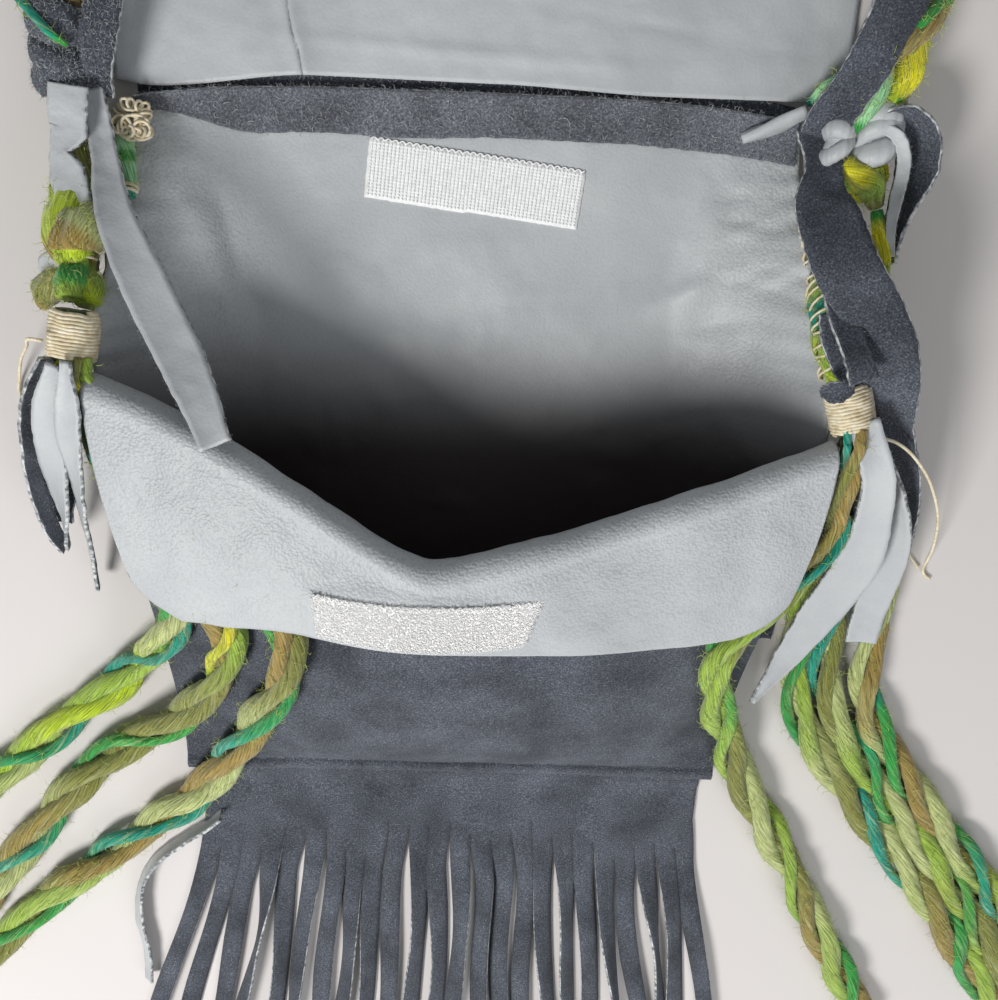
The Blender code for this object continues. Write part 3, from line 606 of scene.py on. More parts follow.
# %% Top band
def on_back(x, y):
    return back_point(x / half_width(y, 1 if x > 0 else -1), y)


def laid_on(surface, x, y, lift):
    """A point `lift` above a panel's middle surface, square to it."""
    across = surface(x + MM, y) - surface(x - MM, y)
    up = surface(x, y + MM) - surface(x, y - MM)
    return surface(x, y) + across.cross(up).normalized() * lift


BAND_WIDTH = 15 * MM
BAND_LENGTH = 238 * MM


def band_bottom(x):
    """The band was cut by eye: its lower edge wanders, and it narrows at the left end."""
    narrow = ease((x + BAND_LENGTH / 2) / (45 * MM))
    wander = 1.4 * MM * noise.noise(Vector((x * 22, 8.1, 0)))
    frayed = 0.5 * MM * noise.noise(Vector((x * 260, 1.0, 0)))
    return BODY_LENGTH - BAND_WIDTH * (0.35 + 0.65 * narrow) - (wander + frayed)


band_grid = np.array([[laid_on(on_back, x, band_bottom(x) * (1 - down) + BODY_LENGTH * down,
                               LAYER + SEAT / 2 + (0.5 + 1.2 * down**3) * MM)
                       for x in spaced(240, -BAND_LENGTH / 2, BAND_LENGTH / 2)]
                      for down in spaced(14, 0, 1)])
band_grid = lift_normals(band_grid, np.abs(rumple(band_grid, 12 * MM, 0.5 * MM, 21)))
top_band = leather("top_band_suede", band_grid, (BAND_SUEDE, GRAIN, EDGE), "bag", "top_band")

# %% Fringe
FRINGE_WIDTH = 230 * MM
FRINGE_HEADER = 27 * MM
FRINGE_LENGTH = 166 * MM
FRINGE_STRIPS = 24
FRINGE_SPREAD = 1.24
STRIP_COLUMNS = 4
STRIP_ROWS = 56


def fringe_height(y):
    return along([(-2 * SEAM_ALLOWANCE, LEATHER / 2 + SEAT), (-MM, LEATHER / 2 + LAYER)], y)


def header_point(k, y):
    """A place in the uncut leather, k columns from the left."""
    x = FRINGE_WIDTH * (k / (FRINGE_STRIPS * STRIP_COLUMNS) - 0.5)
    side = 1 if x > 0 else -1
    inside = BOTTOM_LIFT * curl(x / half_width(0, side)) if y > -SEAM_ALLOWANCE else 0
    ripple = 0.5 * MM * (1 + noise.noise(Vector((x * 55, y * 40, 9)))) * min(1, max(0, -y / (20 * MM)))
    share = max(0, (-y - FRINGE_HEADER) / (FRINGE_LENGTH - FRINGE_HEADER))
    return Vector((x * (1 + (FRINGE_SPREAD - 1) * share), y, fringe_height(y) + inside + ripple))


def free_point(index, across, share, habit):
    """A place in a strip that hangs free of its neighbours, `share` of the way to its end."""
    lean, twist, sway, phase = habit
    pitch = FRINGE_WIDTH / FRINGE_STRIPS
    top = pitch * (index + 0.5) - FRINGE_WIDTH / 2
    x = top * (1 + (FRINGE_SPREAD - 1) * share) + lean * share**1.5 + sway * math.sin(5.2 * share + phase)
    y = -FRINGE_HEADER - (FRINGE_LENGTH - FRINGE_HEADER) * share
    turned = math.radians(twist) * ease(share * 1.6) * (1 + 0.25 * math.sin(6 * share + phase))
    half = pitch * 0.49 * (1 + 0.05 * math.sin(9 * share + phase))
    lying = LEATHER / 2 + SEAT + abs(math.sin(turned)) * half + 0.3 * MM
    bulge = 0.6 * MM * (1 - across**2)
    return Vector((x + half * across * math.cos(turned) - bulge * math.sin(turned), y,
                   lying + half * across * math.sin(turned) + bulge * math.cos(turned)))


def make_fringe():
    pick = random.Random(7)
    habits = []
    for index in range(FRINGE_STRIPS):
        habits.append([pick.uniform(-3.5, 3.5) * MM, pick.choice((12, -16, 24, -30, 38, -42, 52, -58, 66)),
                       pick.uniform(0.8, 2.4) * MM, pick.uniform(0, 6.3)])
    for index, lean in ((0, -15), (1, -10), (2, -6), (3, -7)):
        habits[index][0] = lean * MM
    starts = [0.0] + [pick.uniform(0.0, 0.16) for _ in range(FRINGE_STRIPS - 1)] + [0.0]
    work = bmesh.new()
    header_rows = [-FRINGE_HEADER + (FRINGE_HEADER + 5 * MM) * k / 18 for k in range(19)]
    grid = [[work.verts.new(header_point(k, y)) for k in range(FRINGE_STRIPS * STRIP_COLUMNS + 1)]
            for y in header_rows]
    for low, high in zip(grid, grid[1:]):
        for k in range(len(low) - 1):
            work.faces.new((low[k], low[k + 1], high[k + 1], high[k]))
    for index in range(FRINGE_STRIPS):
        first = index * STRIP_COLUMNS
        upper = grid[0][first:first + STRIP_COLUMNS + 1]
        for share in spaced(STRIP_ROWS, 0, 1)[1:]:
            y = -FRINGE_HEADER - (FRINGE_LENGTH - FRINGE_HEADER) * share
            lower = []
            for k in range(STRIP_COLUMNS + 1):
                place = k / STRIP_COLUMNS
                slit = starts[index] * (1 - place) + starts[index + 1] * place
                freed = ease((share - slit) / 0.22)
                free = free_point(index, 2 * place - 1, share, habits[index])
                lower.append(work.verts.new(header_point(first + k, y).lerp(free, freed)))
            for k in range(STRIP_COLUMNS):
                work.faces.new((lower[k], lower[k + 1], upper[k + 1], upper[k]))
            upper = lower
    bmesh.ops.remove_doubles(work, verts=work.verts, dist=0.005 * MM)
    mesh = bpy.data.meshes.new("fringe_leather")
    work.to_mesh(mesh)
    work.free()
    return walled(add_object("fringe_leather", mesh), "fringe_leather", (SUEDE, GRAIN, EDGE), 1.2 * MM)


fringe = make_fringe()
hand_over(fringe, "fringe")
print("Fringe:", FRINGE_STRIPS, "strips,", len(fringe.data.polygons), "faces")

# %% [markdown]
# Thongs and tails are strips cut from the same hide. Each follows a route of a few points, and
# each point says how far the strip is tipped there and, where it isn't full, how wide it is.
# Smooth curves through the points keep the strips supple, and a slight hollow across them makes
# them look like leather and not paper.

# %% Thongs and tails
def smooth_route(points, steps):
    """Catmull-Rom curve through the route's own points, `steps` for each stretch."""
    padded = [2 * points[0] - points[1], *points, 2 * points[-1] - points[-2]]
    route = []
    for a, b, c, d in zip(padded, padded[1:], padded[2:], padded[3:]):
        for k in range(steps):
            t = k / steps
            route.append(0.5 * (2 * b + (c - a) * t + (2 * a - 5 * b + 4 * c - d) * t**2
                                + (3 * b - a - 3 * c + d) * t**3))
    route.append(points[-1].copy())
    return route


THONG_WIDTH = 14 * MM
POINTED_TAIL_WIDTH = 21 * MM
TAIL_WIDTH = 12 * MM
STRIPS = {
    "left_front_thong": (16 * MM, (SUEDE, GRAIN), "thong", [
        (-128.5, 286, 18, 0, 0.5), (-126.2, 275, 20, -4, 0.52), (-123.4, 264, 25.5, -8, 0.56),
        (-118, 247, 37, -14, 0.8), (-107, 227, 48, -16), (-94, 204, 57, -14), (-86, 190, 65, -10),
        (-80, 177, 71, -6)]),
    "right_front_thong": (21 * MM, (GRAIN, SUEDE), "thong", [
        (124, 283, 10, 0, 0.7), (126, 275.8, 14, 4, 0.66), (125.8, 267.7, 20, 8, 0.62),
        (124.5, 259.8, 27, 10, 0.9), (125.7, 252.3, 36, 12), (127.3, 245, 44, 15), (130.3, 237.4, 50, 18),
        (138, 226.2, 55, 20, 0.95), (145.2, 214, 57, 22, 0.88), (151.3, 199.4, 54, 28, 0.72),
        (156.4, 184.5, 47, 36, 0.58), (164, 168.5, 39, 40, 0.72), (171.8, 150.3, 29, 44, 0.85),
        (179, 128.5, 17, 50, 0.8), (182, 112, 9.5, 56, 0.8)]),
    "right_outer_thong": (17 * MM, (GRAIN, SUEDE), "plain", [
        (145, 284.6, 16, 44, 0.8), (151.5, 286, 17, 48), (158, 281, 17, 50), (159.8, 270.5, 17, 54),
        (156.8, 258, 18, 60, 0.72), (154.5, 247, 20, 64, 0.5), (153.5, 238, 23, 66, 0.35)]),
    "left_tail_1": (TAIL_WIDTH, (SUEDE, GRAIN), "taper", [
        (-135.8, 199.5, 59, 14), (-139, 187.8, 57, 12), (-143.8, 173.5, 51, 10), (-148.5, 157, 40, 16),
        (-152.5, 138.7, 29, 40), (-156, 124, 20, 60), (-158.7, 112.4, 13, 70)]),
    "left_tail_2": (TAIL_WIDTH, (SUEDE, GRAIN), "taper", [
        (-130.5, 201.5, 61, 10, 0.75), (-132, 187.7, 60, 14, 0.8), (-135, 171.7, 55.5, 20, 0.85),
        (-138.6, 155.2, 45, 38, 0.8), (-142.8, 136.5, 33, 52, 0.8), (-147, 114.1, 19, 60, 0.8),
        (-151, 91, 7.4, 66, 0.8)]),
    "right_pointed_tail": (POINTED_TAIL_WIDTH, (SUEDE, GRAIN), "plain", [
        (140.6, 188.6, 57.5, 2, 0.5), (149.3, 168.6, 57, 6, 0.55), (156, 146, 43.5, 8, 0.66),
        (158.5, 122.5, 31, 6, 0.86), (152.3, 96.6, 20.5, 2, 0.84), (142, 71, 16, 0, 0.55),
        (130, 48.5, 16.5, 0, 0.1)]),
    "right_square_tail": (THONG_WIDTH, (SUEDE, GRAIN), "square", [
        (150.5, 182, 50, 80), (161.5, 157, 41, 56), (171, 132, 30, 32), (173.8, 112, 21.5, 16),
        (173.6, 94, 16.5, 3), (173, 79, 14.8, 0)]),
    "right_suede_tail": (TAIL_WIDTH, (GRAIN, SUEDE), "taper", [
        (143.5, 183.6, 41.8, 0), (147, 160.1, 24.4, 0), (143, 139.1, 12.9, 0), (139, 116, 4.5, 0),
        (136.5, 94, 1.4, 0), (136.5, 72, 1.2, 0)]),
}
STEPS = 12
STRIP_ACROSS = 8
HOLLOW = 0.05


def cut_width(end, share):
    """How the strip's width changes from the whipping that gathers it to its cut end."""
    gathered = 0.45 + 0.55 * ease(share / 0.22)
    if end == "plain":
        return 1.0
    if end == "taper":
        return gathered * (1 - 0.55 * ease((share - 0.8) / 0.2))
    if end == "square":
        return gathered * (1 + 0.05 * math.sin(5 * share))
    return 1 - 0.3 * ease((share - 0.7) / 0.3)


def in_mm(points):
    return [Vector(point[:3]) * MM for point in points]


def stations(route):
    """Each point of a route, the direction there and the length walked so far."""
    walked = 0.0
    for k, centre in enumerate(route):
        if k:
            walked += (centre - route[k - 1]).length
        yield centre, (route[min(k + 1, len(route) - 1)] - route[max(k - 1, 0)]).normalized(), walked


def strip_grid(width, end, points, seed):
    centres = smooth_route(in_mm(points), STEPS)
    places, marks = np.arange(len(centres)), np.arange(len(points)) * STEPS
    turns = np.interp(places, marks, [point[3] for point in points])
    fullness = np.interp(places, marks, [point[4] if len(point) > 4 else 1.0 for point in points])
    rows = []
    for k, (centre, run, _) in enumerate(stations(centres)):
        across = Vector((0, 0, 1)).cross(run).normalized()
        turn = math.radians(turns[k])
        side = across * math.cos(turn) + run.cross(across) * math.sin(turn)
        face = run.cross(side)
        half = width / 2 * cut_width(end, k / (len(centres) - 1)) * fullness[k]
        ragged = 0.4 * MM * noise.noise(Vector((k * 0.35, seed, 0)))
        rows.append([centre + side * (half * place + ragged) + face * HOLLOW * width * (place**2 - 0.4)
                     for place in spaced(STRIP_ACROSS)])
    return np.array(rows)


# Small ends and scraps of leather with no solid of their own
SCRAPS = {
    "left_knot_tab": (12 * MM, (SUEDE, GRAIN), "plain", [
        (-133.7, 287, 24, 0, 1.1), (-134.6, 279, 25, 4, 1.12), (-135, 272.6, 25.4, 4, 1.05),
        (-138.3, 266, 26.2, 6, 0.5), (-136.2, 259, 27.4, 8, 1.1), (-134, 252, 29, 8, 1.1),
        (-130.5, 246, 31.5, 4, 0.7)]),
    "left_strap_side_strip": (12 * MM, (GRAIN, SUEDE), "plain", [
        (-123, 334, 9, -10), (-121, 322, 15, -10), (-121, 312, 20, -8), (-123, 301, 22.5, -4),
        (-124.5, 292, 21, 4, 0.8), (-125, 284, 16, 8, 0.6)]),
    "left_folded_edge": (7 * MM, (GRAIN, SUEDE), "plain", [
        (-140, 200.5, 53, -50, 0.8), (-146.5, 190, 50.5, -56), (-151, 181, 47.5, -60),
        (-154.8, 168, 42.5, -62), (-159.4, 145.7, 32, -62), (-161.2, 124.6, 21, -66),
        (-160.9, 110, 11, -74, 0.8)]),
    # A dark suede strip under the left folded edge and tail: painted shadow, it stands for the shade in the gap
    # between them
    "left_fold_inside": (13 * MM, (GRAIN, SUEDE), "taper", [
        (-138, 198.5, 47, 0), (-145, 183, 42.5, 0), (-149.5, 167, 36, 0), (-153.5, 147, 26, 0),
        (-157.5, 124, 15, 0)]),
    "left_small_scrap": (9 * MM, (SUEDE, GRAIN), "taper", [
        (-137, 231, 37, 10), (-141.5, 229.5, 33, 20), (-147, 227, 27.5, 30), (-151, 224, 23, 30)]),
    "curled_fringe_strip": (8 * MM, (SUEDE, GRAIN), "thong", [
        (-107, -27, 5.5, 84), (-113, -33, 5.5, 84), (-124, -41, 5.5, 82), (-137, -52, 5.2, 78),
        (-146, -65, 5, 70), (-150, -80, 4.6, 58), (-151, -96, 4.4, 50), (-149, -112, 4.4, 46),
        (-150, -132, 4.2, 44)]),
    "right_small_scrap": (10 * MM, (GRAIN, SUEDE), "thong", [
        (136.5, 204, 62, 0), (133.5, 213, 59, 10), (130, 223, 51.5, 10), (127, 233, 43, 0)]),
    "right_under_tail": (10 * MM, (GRAIN, SUEDE), "taper", [
        (139.5, 184, 55, 0), (142.4, 165, 49, 4), (145.5, 148, 39, 6), (147, 130, 29.5, 4),
        (142, 107, 19, 2)]),
    "right_strap_strip": (19 * MM, (GRAIN, SUEDE), "plain", [
        (149, 352, 19.8, 0), (147, 342, 21.5, -4), (144.4, 332.6, 24, -8), (141, 323.5, 25.5, -10),
        (137.5, 314.3, 26, -8, 0.86), (134, 304.4, 26, 6, 0.8), (129.8, 295, 23.5, 14, 0.74),
        (126, 286.5, 18.5, 10, 0.8), (124, 280, 13, 0, 0.7)]),
    "right_whip_leaf": (7.5 * MM, (GRAIN, SUEDE), "plain", [
        (124.1, 198.5, 57.0, 0, 0.4), (126.4, 199.4, 60.0, 0, 1.0), (130.1, 199.9, 60.0, 0, 1.0),
        (134.8, 200.6, 58.0, 0, 0.4)]),
    "right_inner_suede": (12 * MM, (GRAIN, SUEDE), "plain", [
        (126.2, 224.7, 48.0, 0, 0.7), (129.0, 216.7, 52.0, 0, 1.0), (133.9, 207.7, 53.0, 0, 1.0),
        (140.4, 198.4, 52.0, 0, 0.8)]),
    "right_outer_lining": (4.6 * MM, (SUEDE, GRAIN), "plain", [
        (143.3, 284, 20.5, 10, 0.7), (149.5, 281, 21.5, 20), (152.8, 273, 22, 26), (152.4, 262, 22, 26),
        (151.6, 251.8, 23, 20, 0.8), (152.4, 241, 25, 10, 0.7)]),
}
for seed, (name, (width, faces, end, points)) in enumerate({**STRIPS, **SCRAPS}.items()):
    grid = strip_grid(width, end, points, seed)
    grid = lift_normals(grid, rumple(grid, 9 * MM, 0.35 * MM, 30 + seed))
    leather(name + "_leather", grid, (*faces, EDGE), "bag", name if name in STRIPS else None)
print("Thongs and tails:", len(STRIPS), "scraps:", len(SCRAPS))

# %% [markdown]
# The hook tape is moulded: rows of stiff nylon hooks on a woven ground. The loop tape is napped:
# a fluff of fine loops. Both are laid out flat by one geometry node tree that puts a small shape
# on each point of a grid, and are then bent onto the leather below them.


# %% What all the trees share
def new_tree(name, **inputs):
    """A geometry tree with named inputs: a kind of socket, or a number that is its first value.
    Gives (the tree, its inputs' identifiers), what adds nodes to it, and its inputs' sockets."""
    tree = bpy.data.node_groups.new(name, "GeometryNodeTree")
    keys = {}
    for label, value in inputs.items():
        kind = value if isinstance(value, str) else "Int" if isinstance(value, int) else "Float"
        socket = tree.interface.new_socket(label, in_out="INPUT", socket_type="NodeSocket" + kind)
        keys[label] = socket.identifier
        if kind != value:
            socket.default_value = value
    tree.interface.new_socket("Geometry", in_out="OUTPUT", socket_type="NodeSocketGeometry")
    node = partial(add_node, tree)
    return (tree, keys), node, node("NodeGroupInput").outputs


def random_vector(node, reach, seed):
    """A vector by chance, each part of it between minus and plus its reach."""
    most = node("ShaderNodeCombineXYZ", dict(enumerate(reach)))
    least = node("ShaderNodeVectorMath", {0: most, "Scale": -1.0}, operation="SCALE")
    return node("FunctionNodeRandomValue", {0: least, 1: most, "Seed": seed}, data_type="FLOAT_VECTOR")


def turned_by_chance(node, rotation, reach, seed):
    wobble = node("FunctionNodeEulerToRotation", {0: random_vector(node, reach, seed)})
    return node("FunctionNodeRotateRotation", {0: rotation, 1: wobble}, rotation_space="LOCAL")


def give_out(node, given, geometry):
    """Ends a tree: what it made becomes real geometry in its finish."""
    real = node("GeometryNodeRealizeInstances", {"Geometry": geometry})
    dressed = node("GeometryNodeSetMaterial", {"Geometry": real, "Material": given["Finish"]})
    node("NodeGroupOutput", {0: dressed})


def set_shapes(node, given, points, rotation, **more):
    """Ends a tree with the lent shape on every point."""
    shape = node("GeometryNodeObjectInfo", {"Object": given["Shape"]})
    give_out(node, given, node("GeometryNodeInstanceOnPoints", {
        "Points": points, "Instance": shape.outputs["Geometry"], "Rotation": rotation, **more}))


def grown(tree_and_keys, name, values, base=None):
    """The mesh that a tree makes, with its named inputs set."""
    tree, keys = tree_and_keys
    made = add_object(name + "_grower", base or bpy.data.meshes.new(name))
    growth = made.modifiers.new("growth", "NODES")
    growth.node_group = tree
    for key, value in values.items():
        growth[keys[key]] = value
    return finished(made, name)


# %% A tree that sets a shape on every point of a grid, turned and tipped by chance
GRID_TREE, node, given = new_tree("shapes on a grid", Shape="Object", Length=0.08, Width=0.02, Columns=40,
                                  Rows=8, Tip=0.3, Turn=3.0, Stray=0.0005, Finish="Material")
points = node("GeometryNodeMeshGrid", {"Size X": given["Length"], "Size Y": given["Width"],
                                       "Vertices X": given["Columns"], "Vertices Y": given["Rows"]})
stray = node("ShaderNodeVectorMath", {0: random_vector(node, (1.0, 1.0), 5), "Scale": given["Stray"]},
             operation="SCALE")
moved = node("GeometryNodeSetPosition", {"Geometry": points, "Offset": stray})
set_shapes(node, given, moved, random_vector(node, (given["Tip"], given["Tip"], given["Turn"]), 8))


# %% Swept tubes and joined pieces
def sweep(name, route, radii, finish, sides=8, squash=1.0, colours=None, lobes=0.0):
    """A closed tube along a route, with UVs in metres: along it, then round it. Lobes groove it
    lengthways, like a sliver of fibres."""
    radii = radii if hasattr(radii, "__len__") else [radii] * len(route)
    work = bmesh.new()
    uv_layer = work.loops.layers.uv.new("length")
    dye_layer = work.verts.layers.float_color.new("dye") if colours else None
    rings, lengths = [], []
    frame_side = None
    walked = 0.0
    for k, point in enumerate(route):
        run = (route[min(k + 1, len(route) - 1)] - route[max(k - 1, 0)]).normalized()
        if frame_side is None:
            frame_side = run.orthogonal().normalized()
        frame_side = (frame_side - frame_side.project(run)).normalized()
        other = run.cross(frame_side)
        ring = []
        for j in range(sides):
            angle = 2 * math.pi * j / sides
            reach = frame_side * math.cos(angle) + other * math.sin(angle) * squash
            spun = angle + 45 * walked
            groove = 1 + lobes * noise.noise(Vector((1.7 * math.cos(spun), 1.7 * math.sin(spun), 26 * walked)))
            vertex = work.verts.new(point + reach * radii[k] * groove)
            if colours:
                vertex[dye_layer] = colours[k]
            ring.append(vertex)
        rings.append(ring)
        if k:
            walked += (point - route[k - 1]).length
        lengths.append(walked)
    for k in range(len(rings) - 1):
        for j in range(sides):
            near, far = rings[k], rings[k + 1]
            face = work.faces.new((near[j], near[(j + 1) % sides], far[(j + 1) % sides], far[j]))
            rounds = (j, j + 1, j + 1, j)
            places = (lengths[k], lengths[k], lengths[k + 1], lengths[k + 1])
            for loop, turn, place in zip(face.loops, rounds, places):
                loop[uv_layer].uv = (place, 2 * math.pi * radii[k] * turn / sides)
    work.faces.new(list(reversed(rings[0])))
    work.faces.new(rings[-1])
    for face in work.faces:
        face.smooth = True
    mesh = bpy.data.meshes.new(name)
    work.to_mesh(mesh)
    work.free()
    mesh.materials.append(finish)
    return add_object(name, mesh)


def join(objects, name):
    """One object from several, with all their materials."""
    bpy.ops.object.select_all(action="DESELECT")
    for item in objects:
        item.select_set(True)
    bpy.context.view_layer.objects.active = objects[0]
    bpy.ops.object.join()
    made = bpy.context.view_layer.objects.active
    made.name = name
    return made


# %% Tape finishes and the small shapes on them
def nylon(name, shade_low, shade_high, scale, relief):
    """White nylon: heat-set and dull. Where its bump is low its colour turns faintly grey: painted shade in its
    hollows.
    """
    made, node, shader = new_material(name)
    place = node("ShaderNodeTexCoord").outputs["Object"]
    weave = node("ShaderNodeTexNoise", {"Vector": place, "Scale": scale, "Detail": 3.0})
    colour = node("ShaderNodeValToRGB", {"Fac": weave}, [(0.3, shade_low), (0.65, shade_high)])
    bump = node("ShaderNodeBump", {"Strength": relief, "Distance": 0.3 * MM, "Height": weave})
    set_inputs(shader, {"Base Color": colour, "Normal": bump, "Roughness": 0.7})
    return made


TAPE = nylon("woven nylon hook tape, white", "#EAECEC", "#FAFBFB", 700.0, 0.4)
NAP = nylon("napped nylon loop tape, white", "#FCFCFB", "#FFFFFF", 900.0, 0.1)
rib = sweep("rib_shape", in_mm([(-0.16, -0.55, 0.1), (0.16, -0.2, 0.1), (-0.16, 0.2, 0.1), (0.16, 0.55, 0.1)]),
            [0.16 * MM, 0.33 * MM, 0.33 * MM, 0.16 * MM], TAPE, sides=5)
loop = sweep("loop_shape", in_mm([(math.cos(a) * 0.55, 0.25 * math.sin(3 * a), math.sin(a) * 0.32)
                                  for a in [math.pi * k / 5 for k in range(6)]]), 0.13 * MM, NAP, sides=3)

# %% Hook patch and loop patch
PATCH_LENGTH = 80 * MM
PATCH_WIDTH = 19.5 * MM
HOOK_PLACE = (3 * MM, 254 * MM, -6.3)
LOOP_PLACE = (-10.5 * MM, 110 * MM, 1.4)


def on_cuff(x, y):
    side = 1 if x > 0 else -1
    u = x / half_width(lip_y(x / (MOUTH_WIDTH / 2)), side)
    share = (roll_point(u, ROLL_END).y - y) / cuff_reach(u)
    return cuff_point(u, share)


def bend_onto(item, surface, place, base_lift):
    """Lays a flat patch on a panel: its own height is kept square to the leather."""
    x, y, degrees = place
    turn = math.radians(degrees)
    for vertex in item.data.vertices:
        across, down, height = vertex.co
        vertex.co = laid_on(surface, x + across * math.cos(turn) - down * math.sin(turn),
                            y + across * math.sin(turn) + down * math.cos(turn), base_lift + height)
    item.data.shade_smooth()


def tape_ground(name, finish, ragged):
    """The woven ground of the tape, its cut ends a little ragged."""
    rows = []
    for down in spaced(14):
        row = []
        for across in spaced(56):
            wander = ragged * noise.noise(Vector((down * 9, across * 30, 2.0)))
            row.append(((across * PATCH_LENGTH / 2) + wander * (abs(across) > 0.98),
                        down * PATCH_WIDTH / 2 + wander * (abs(down) > 0.98), 0))
        rows.append(row)
    return walled(grid_object(name, rows), name, [finish], 0.7 * MM)


TAPE_LIFT = LEATHER / 2 + 0.15 * MM
hook_ground = tape_ground("hook_patch_ground", TAPE, 0.3 * MM)
ribs = grown(GRID_TREE, "hook_ribs", {
    "Shape": rib, "Length": 77.5 * MM, "Width": 17 * MM, "Columns": 56, "Rows": 17,
    "Tip": 0.05, "Turn": 0.12, "Stray": 0.04 * MM, "Finish": TAPE})
loop_ground = tape_ground("loop_patch_ground", NAP, 0.9 * MM)
loops = grown(GRID_TREE, "tape_loops", {
    "Shape": loop, "Length": 80.5 * MM, "Width": 20.5 * MM, "Columns": 138, "Rows": 37,
    "Tip": 0.5, "Turn": 3.0, "Stray": 0.5 * MM, "Finish": NAP})
ribs.data.transform(Matrix.Translation((0, 0, 0.42 * MM)))
loops.data.transform(Matrix.Translation((0, 0, 0.3 * MM)))


def oversewn(name, first, last, pitch, reach):
    """Stitches that lap over one long edge of a patch: a thread that goes in and out in scallops."""
    count = int((last - first) / pitch * 12)
    points = []
    for k in range(count + 1):
        x = first + (last - first) * k / count
        swing = abs(math.sin(math.pi * (x - first) / pitch))
        points.append(Vector((x, PATCH_WIDTH / 2 - reach * (1 - swing) + 0.4 * MM,
                              0.55 * MM * (1 - 0.6 * swing))))
    return sweep(name, points, 0.28 * MM, NAP, sides=5)


def bow(item):
    """The loop tape was sewn on in a bow, a little narrower than cut, its right end cut slantwise."""
    for vertex in item.data.vertices:
        share = vertex.co.x * 2 / PATCH_LENGTH
        vertex.co.y *= 0.87
        vertex.co.x += 0.3 * vertex.co.y * max(0, share) ** 3
        vertex.co.y += (3.7 * share**2 - 0.9 * share - 1) * MM


for pieces, surface, place, node in (
        ((hook_ground, ribs, oversewn("hook_edge", -39.5 * MM, 39.5 * MM, 2.6 * MM, 0.8 * MM)),
         on_back, HOOK_PLACE, "hook_patch"),
        ((loop_ground, loops, oversewn("loop_edge", -39.5 * MM, 39.5 * MM, 3.2 * MM, 1.8 * MM)),
         on_cuff, LOOP_PLACE, "loop_patch")):
    patch = join(pieces, node + "_tape")
    if node == "loop_patch":
        bow(patch)
    bend_onto(patch, surface, place, TAPE_LIFT)
    hand_over(patch, node)
    print(node, len(patch.data.polygons), "faces")

# %% [markdown]
# The tassels are soft wool roving, barely spun, dyed in runs from lime through ochre to teal. Two
# thick strands and a thin one lie round each other in a loose twist. Each is a swept tube that
# carries its dye in a colour attribute, and the finish draws long fibres along the tube's own UV map.


# %% Wool and thread finishes
def wool():
    made, node, shader = new_material("wool roving, hand dyed, loosely spun")
    dye = node("ShaderNodeAttribute", attribute_name="dye")
    parts = node("ShaderNodeSeparateXYZ", {0: node("ShaderNodeUVMap", uv_map="length")}).outputs
    lean = node("ShaderNodeMath", {0: parts[0], 1: 0.35, 2: parts[1]}, operation="MULTIPLY_ADD")
    fibres = node("ShaderNodeCombineXYZ", {0: parts[0], 1: lean})
    drawn = node("ShaderNodeMapping", {"Vector": fibres, "Scale": (90, 1500, 1)})
    streak = node("ShaderNodeTexNoise", {"Vector": drawn, "Scale": 1.0, "Detail": 3.0, "Roughness": 0.6})
    # The dark end of the streaks is painted shade between the fibres, over the fibres' own uneven tone
    depth = node("ShaderNodeValToRGB", {"Fac": streak},
                 [(0.26, "#5C6052"), (0.42, "#BDBFB2"), (0.6, "#FFFFFF")])
    long_fibres = node("ShaderNodeMapping", {"Vector": fibres, "Scale": (28, 700, 1)})
    taken = node("ShaderNodeTexNoise", {"Vector": long_fibres, "Scale": 1.0, "Detail": 2.0})
    undyed = node("ShaderNodeMapRange", {"Value": taken, "From Min": 0.5, "From Max": 0.72, "To Max": 0.45})
    mixed = node("ShaderNodeMix", {0: undyed, 6: dye, 7: linear("#CBCFA4")}, data_type="RGBA")
    shade = node("ShaderNodeMix", {0: 1.0, 6: mixed.outputs[2], 7: depth}, data_type="RGBA",
                 blend_type="MULTIPLY")
    bump = node("ShaderNodeBump", {"Strength": 0.9, "Distance": 0.6 * MM, "Height": streak})
    set_inputs(shader, {"Base Color": shade.outputs[2], "Normal": bump, "Roughness": 0.9,
                        "Specular IOR Level": 0.25, "Sheen Weight": 0.3, "Subsurface Weight": 0.15,
                        "Subsurface Scale": 2.0 * MM})
    return made


def waxed_thread():
    made, node, shader = new_material("waxed linen thread, cream")
    place = node("ShaderNodeTexCoord").outputs["Object"]
    tone = node("ShaderNodeTexNoise", {"Vector": place, "Scale": 420.0, "Detail": 3.0})
    colour = node("ShaderNodeValToRGB", {"Fac": tone}, [(0.3, "#CDBC97"), (0.5, "#E2D6B7"), (0.7, "#F0E8D3")])
    ply = node("ShaderNodeTexNoise", {"Vector": place, "Scale": 1600.0})
    bump = node("ShaderNodeBump", {"Strength": 0.4, "Distance": 0.2 * MM, "Height": ply})
    set_inputs(shader, {"Base Color": colour, "Normal": bump, "Roughness": 0.6})
    return made


WOOL = wool()
THREAD = waxed_thread()
DYES = {"lime": "#A3C44A", "chartreuse": "#C6E02C", "yellow": "#EDE626", "olive": "#8E9148",
        "ochre": "#A88F4C", "green": "#35A84A", "teal": "#0FA08C", "pale": "#C6D08E", "moss": "#3F5A2C",
        "mint": "#A6E8B2"}


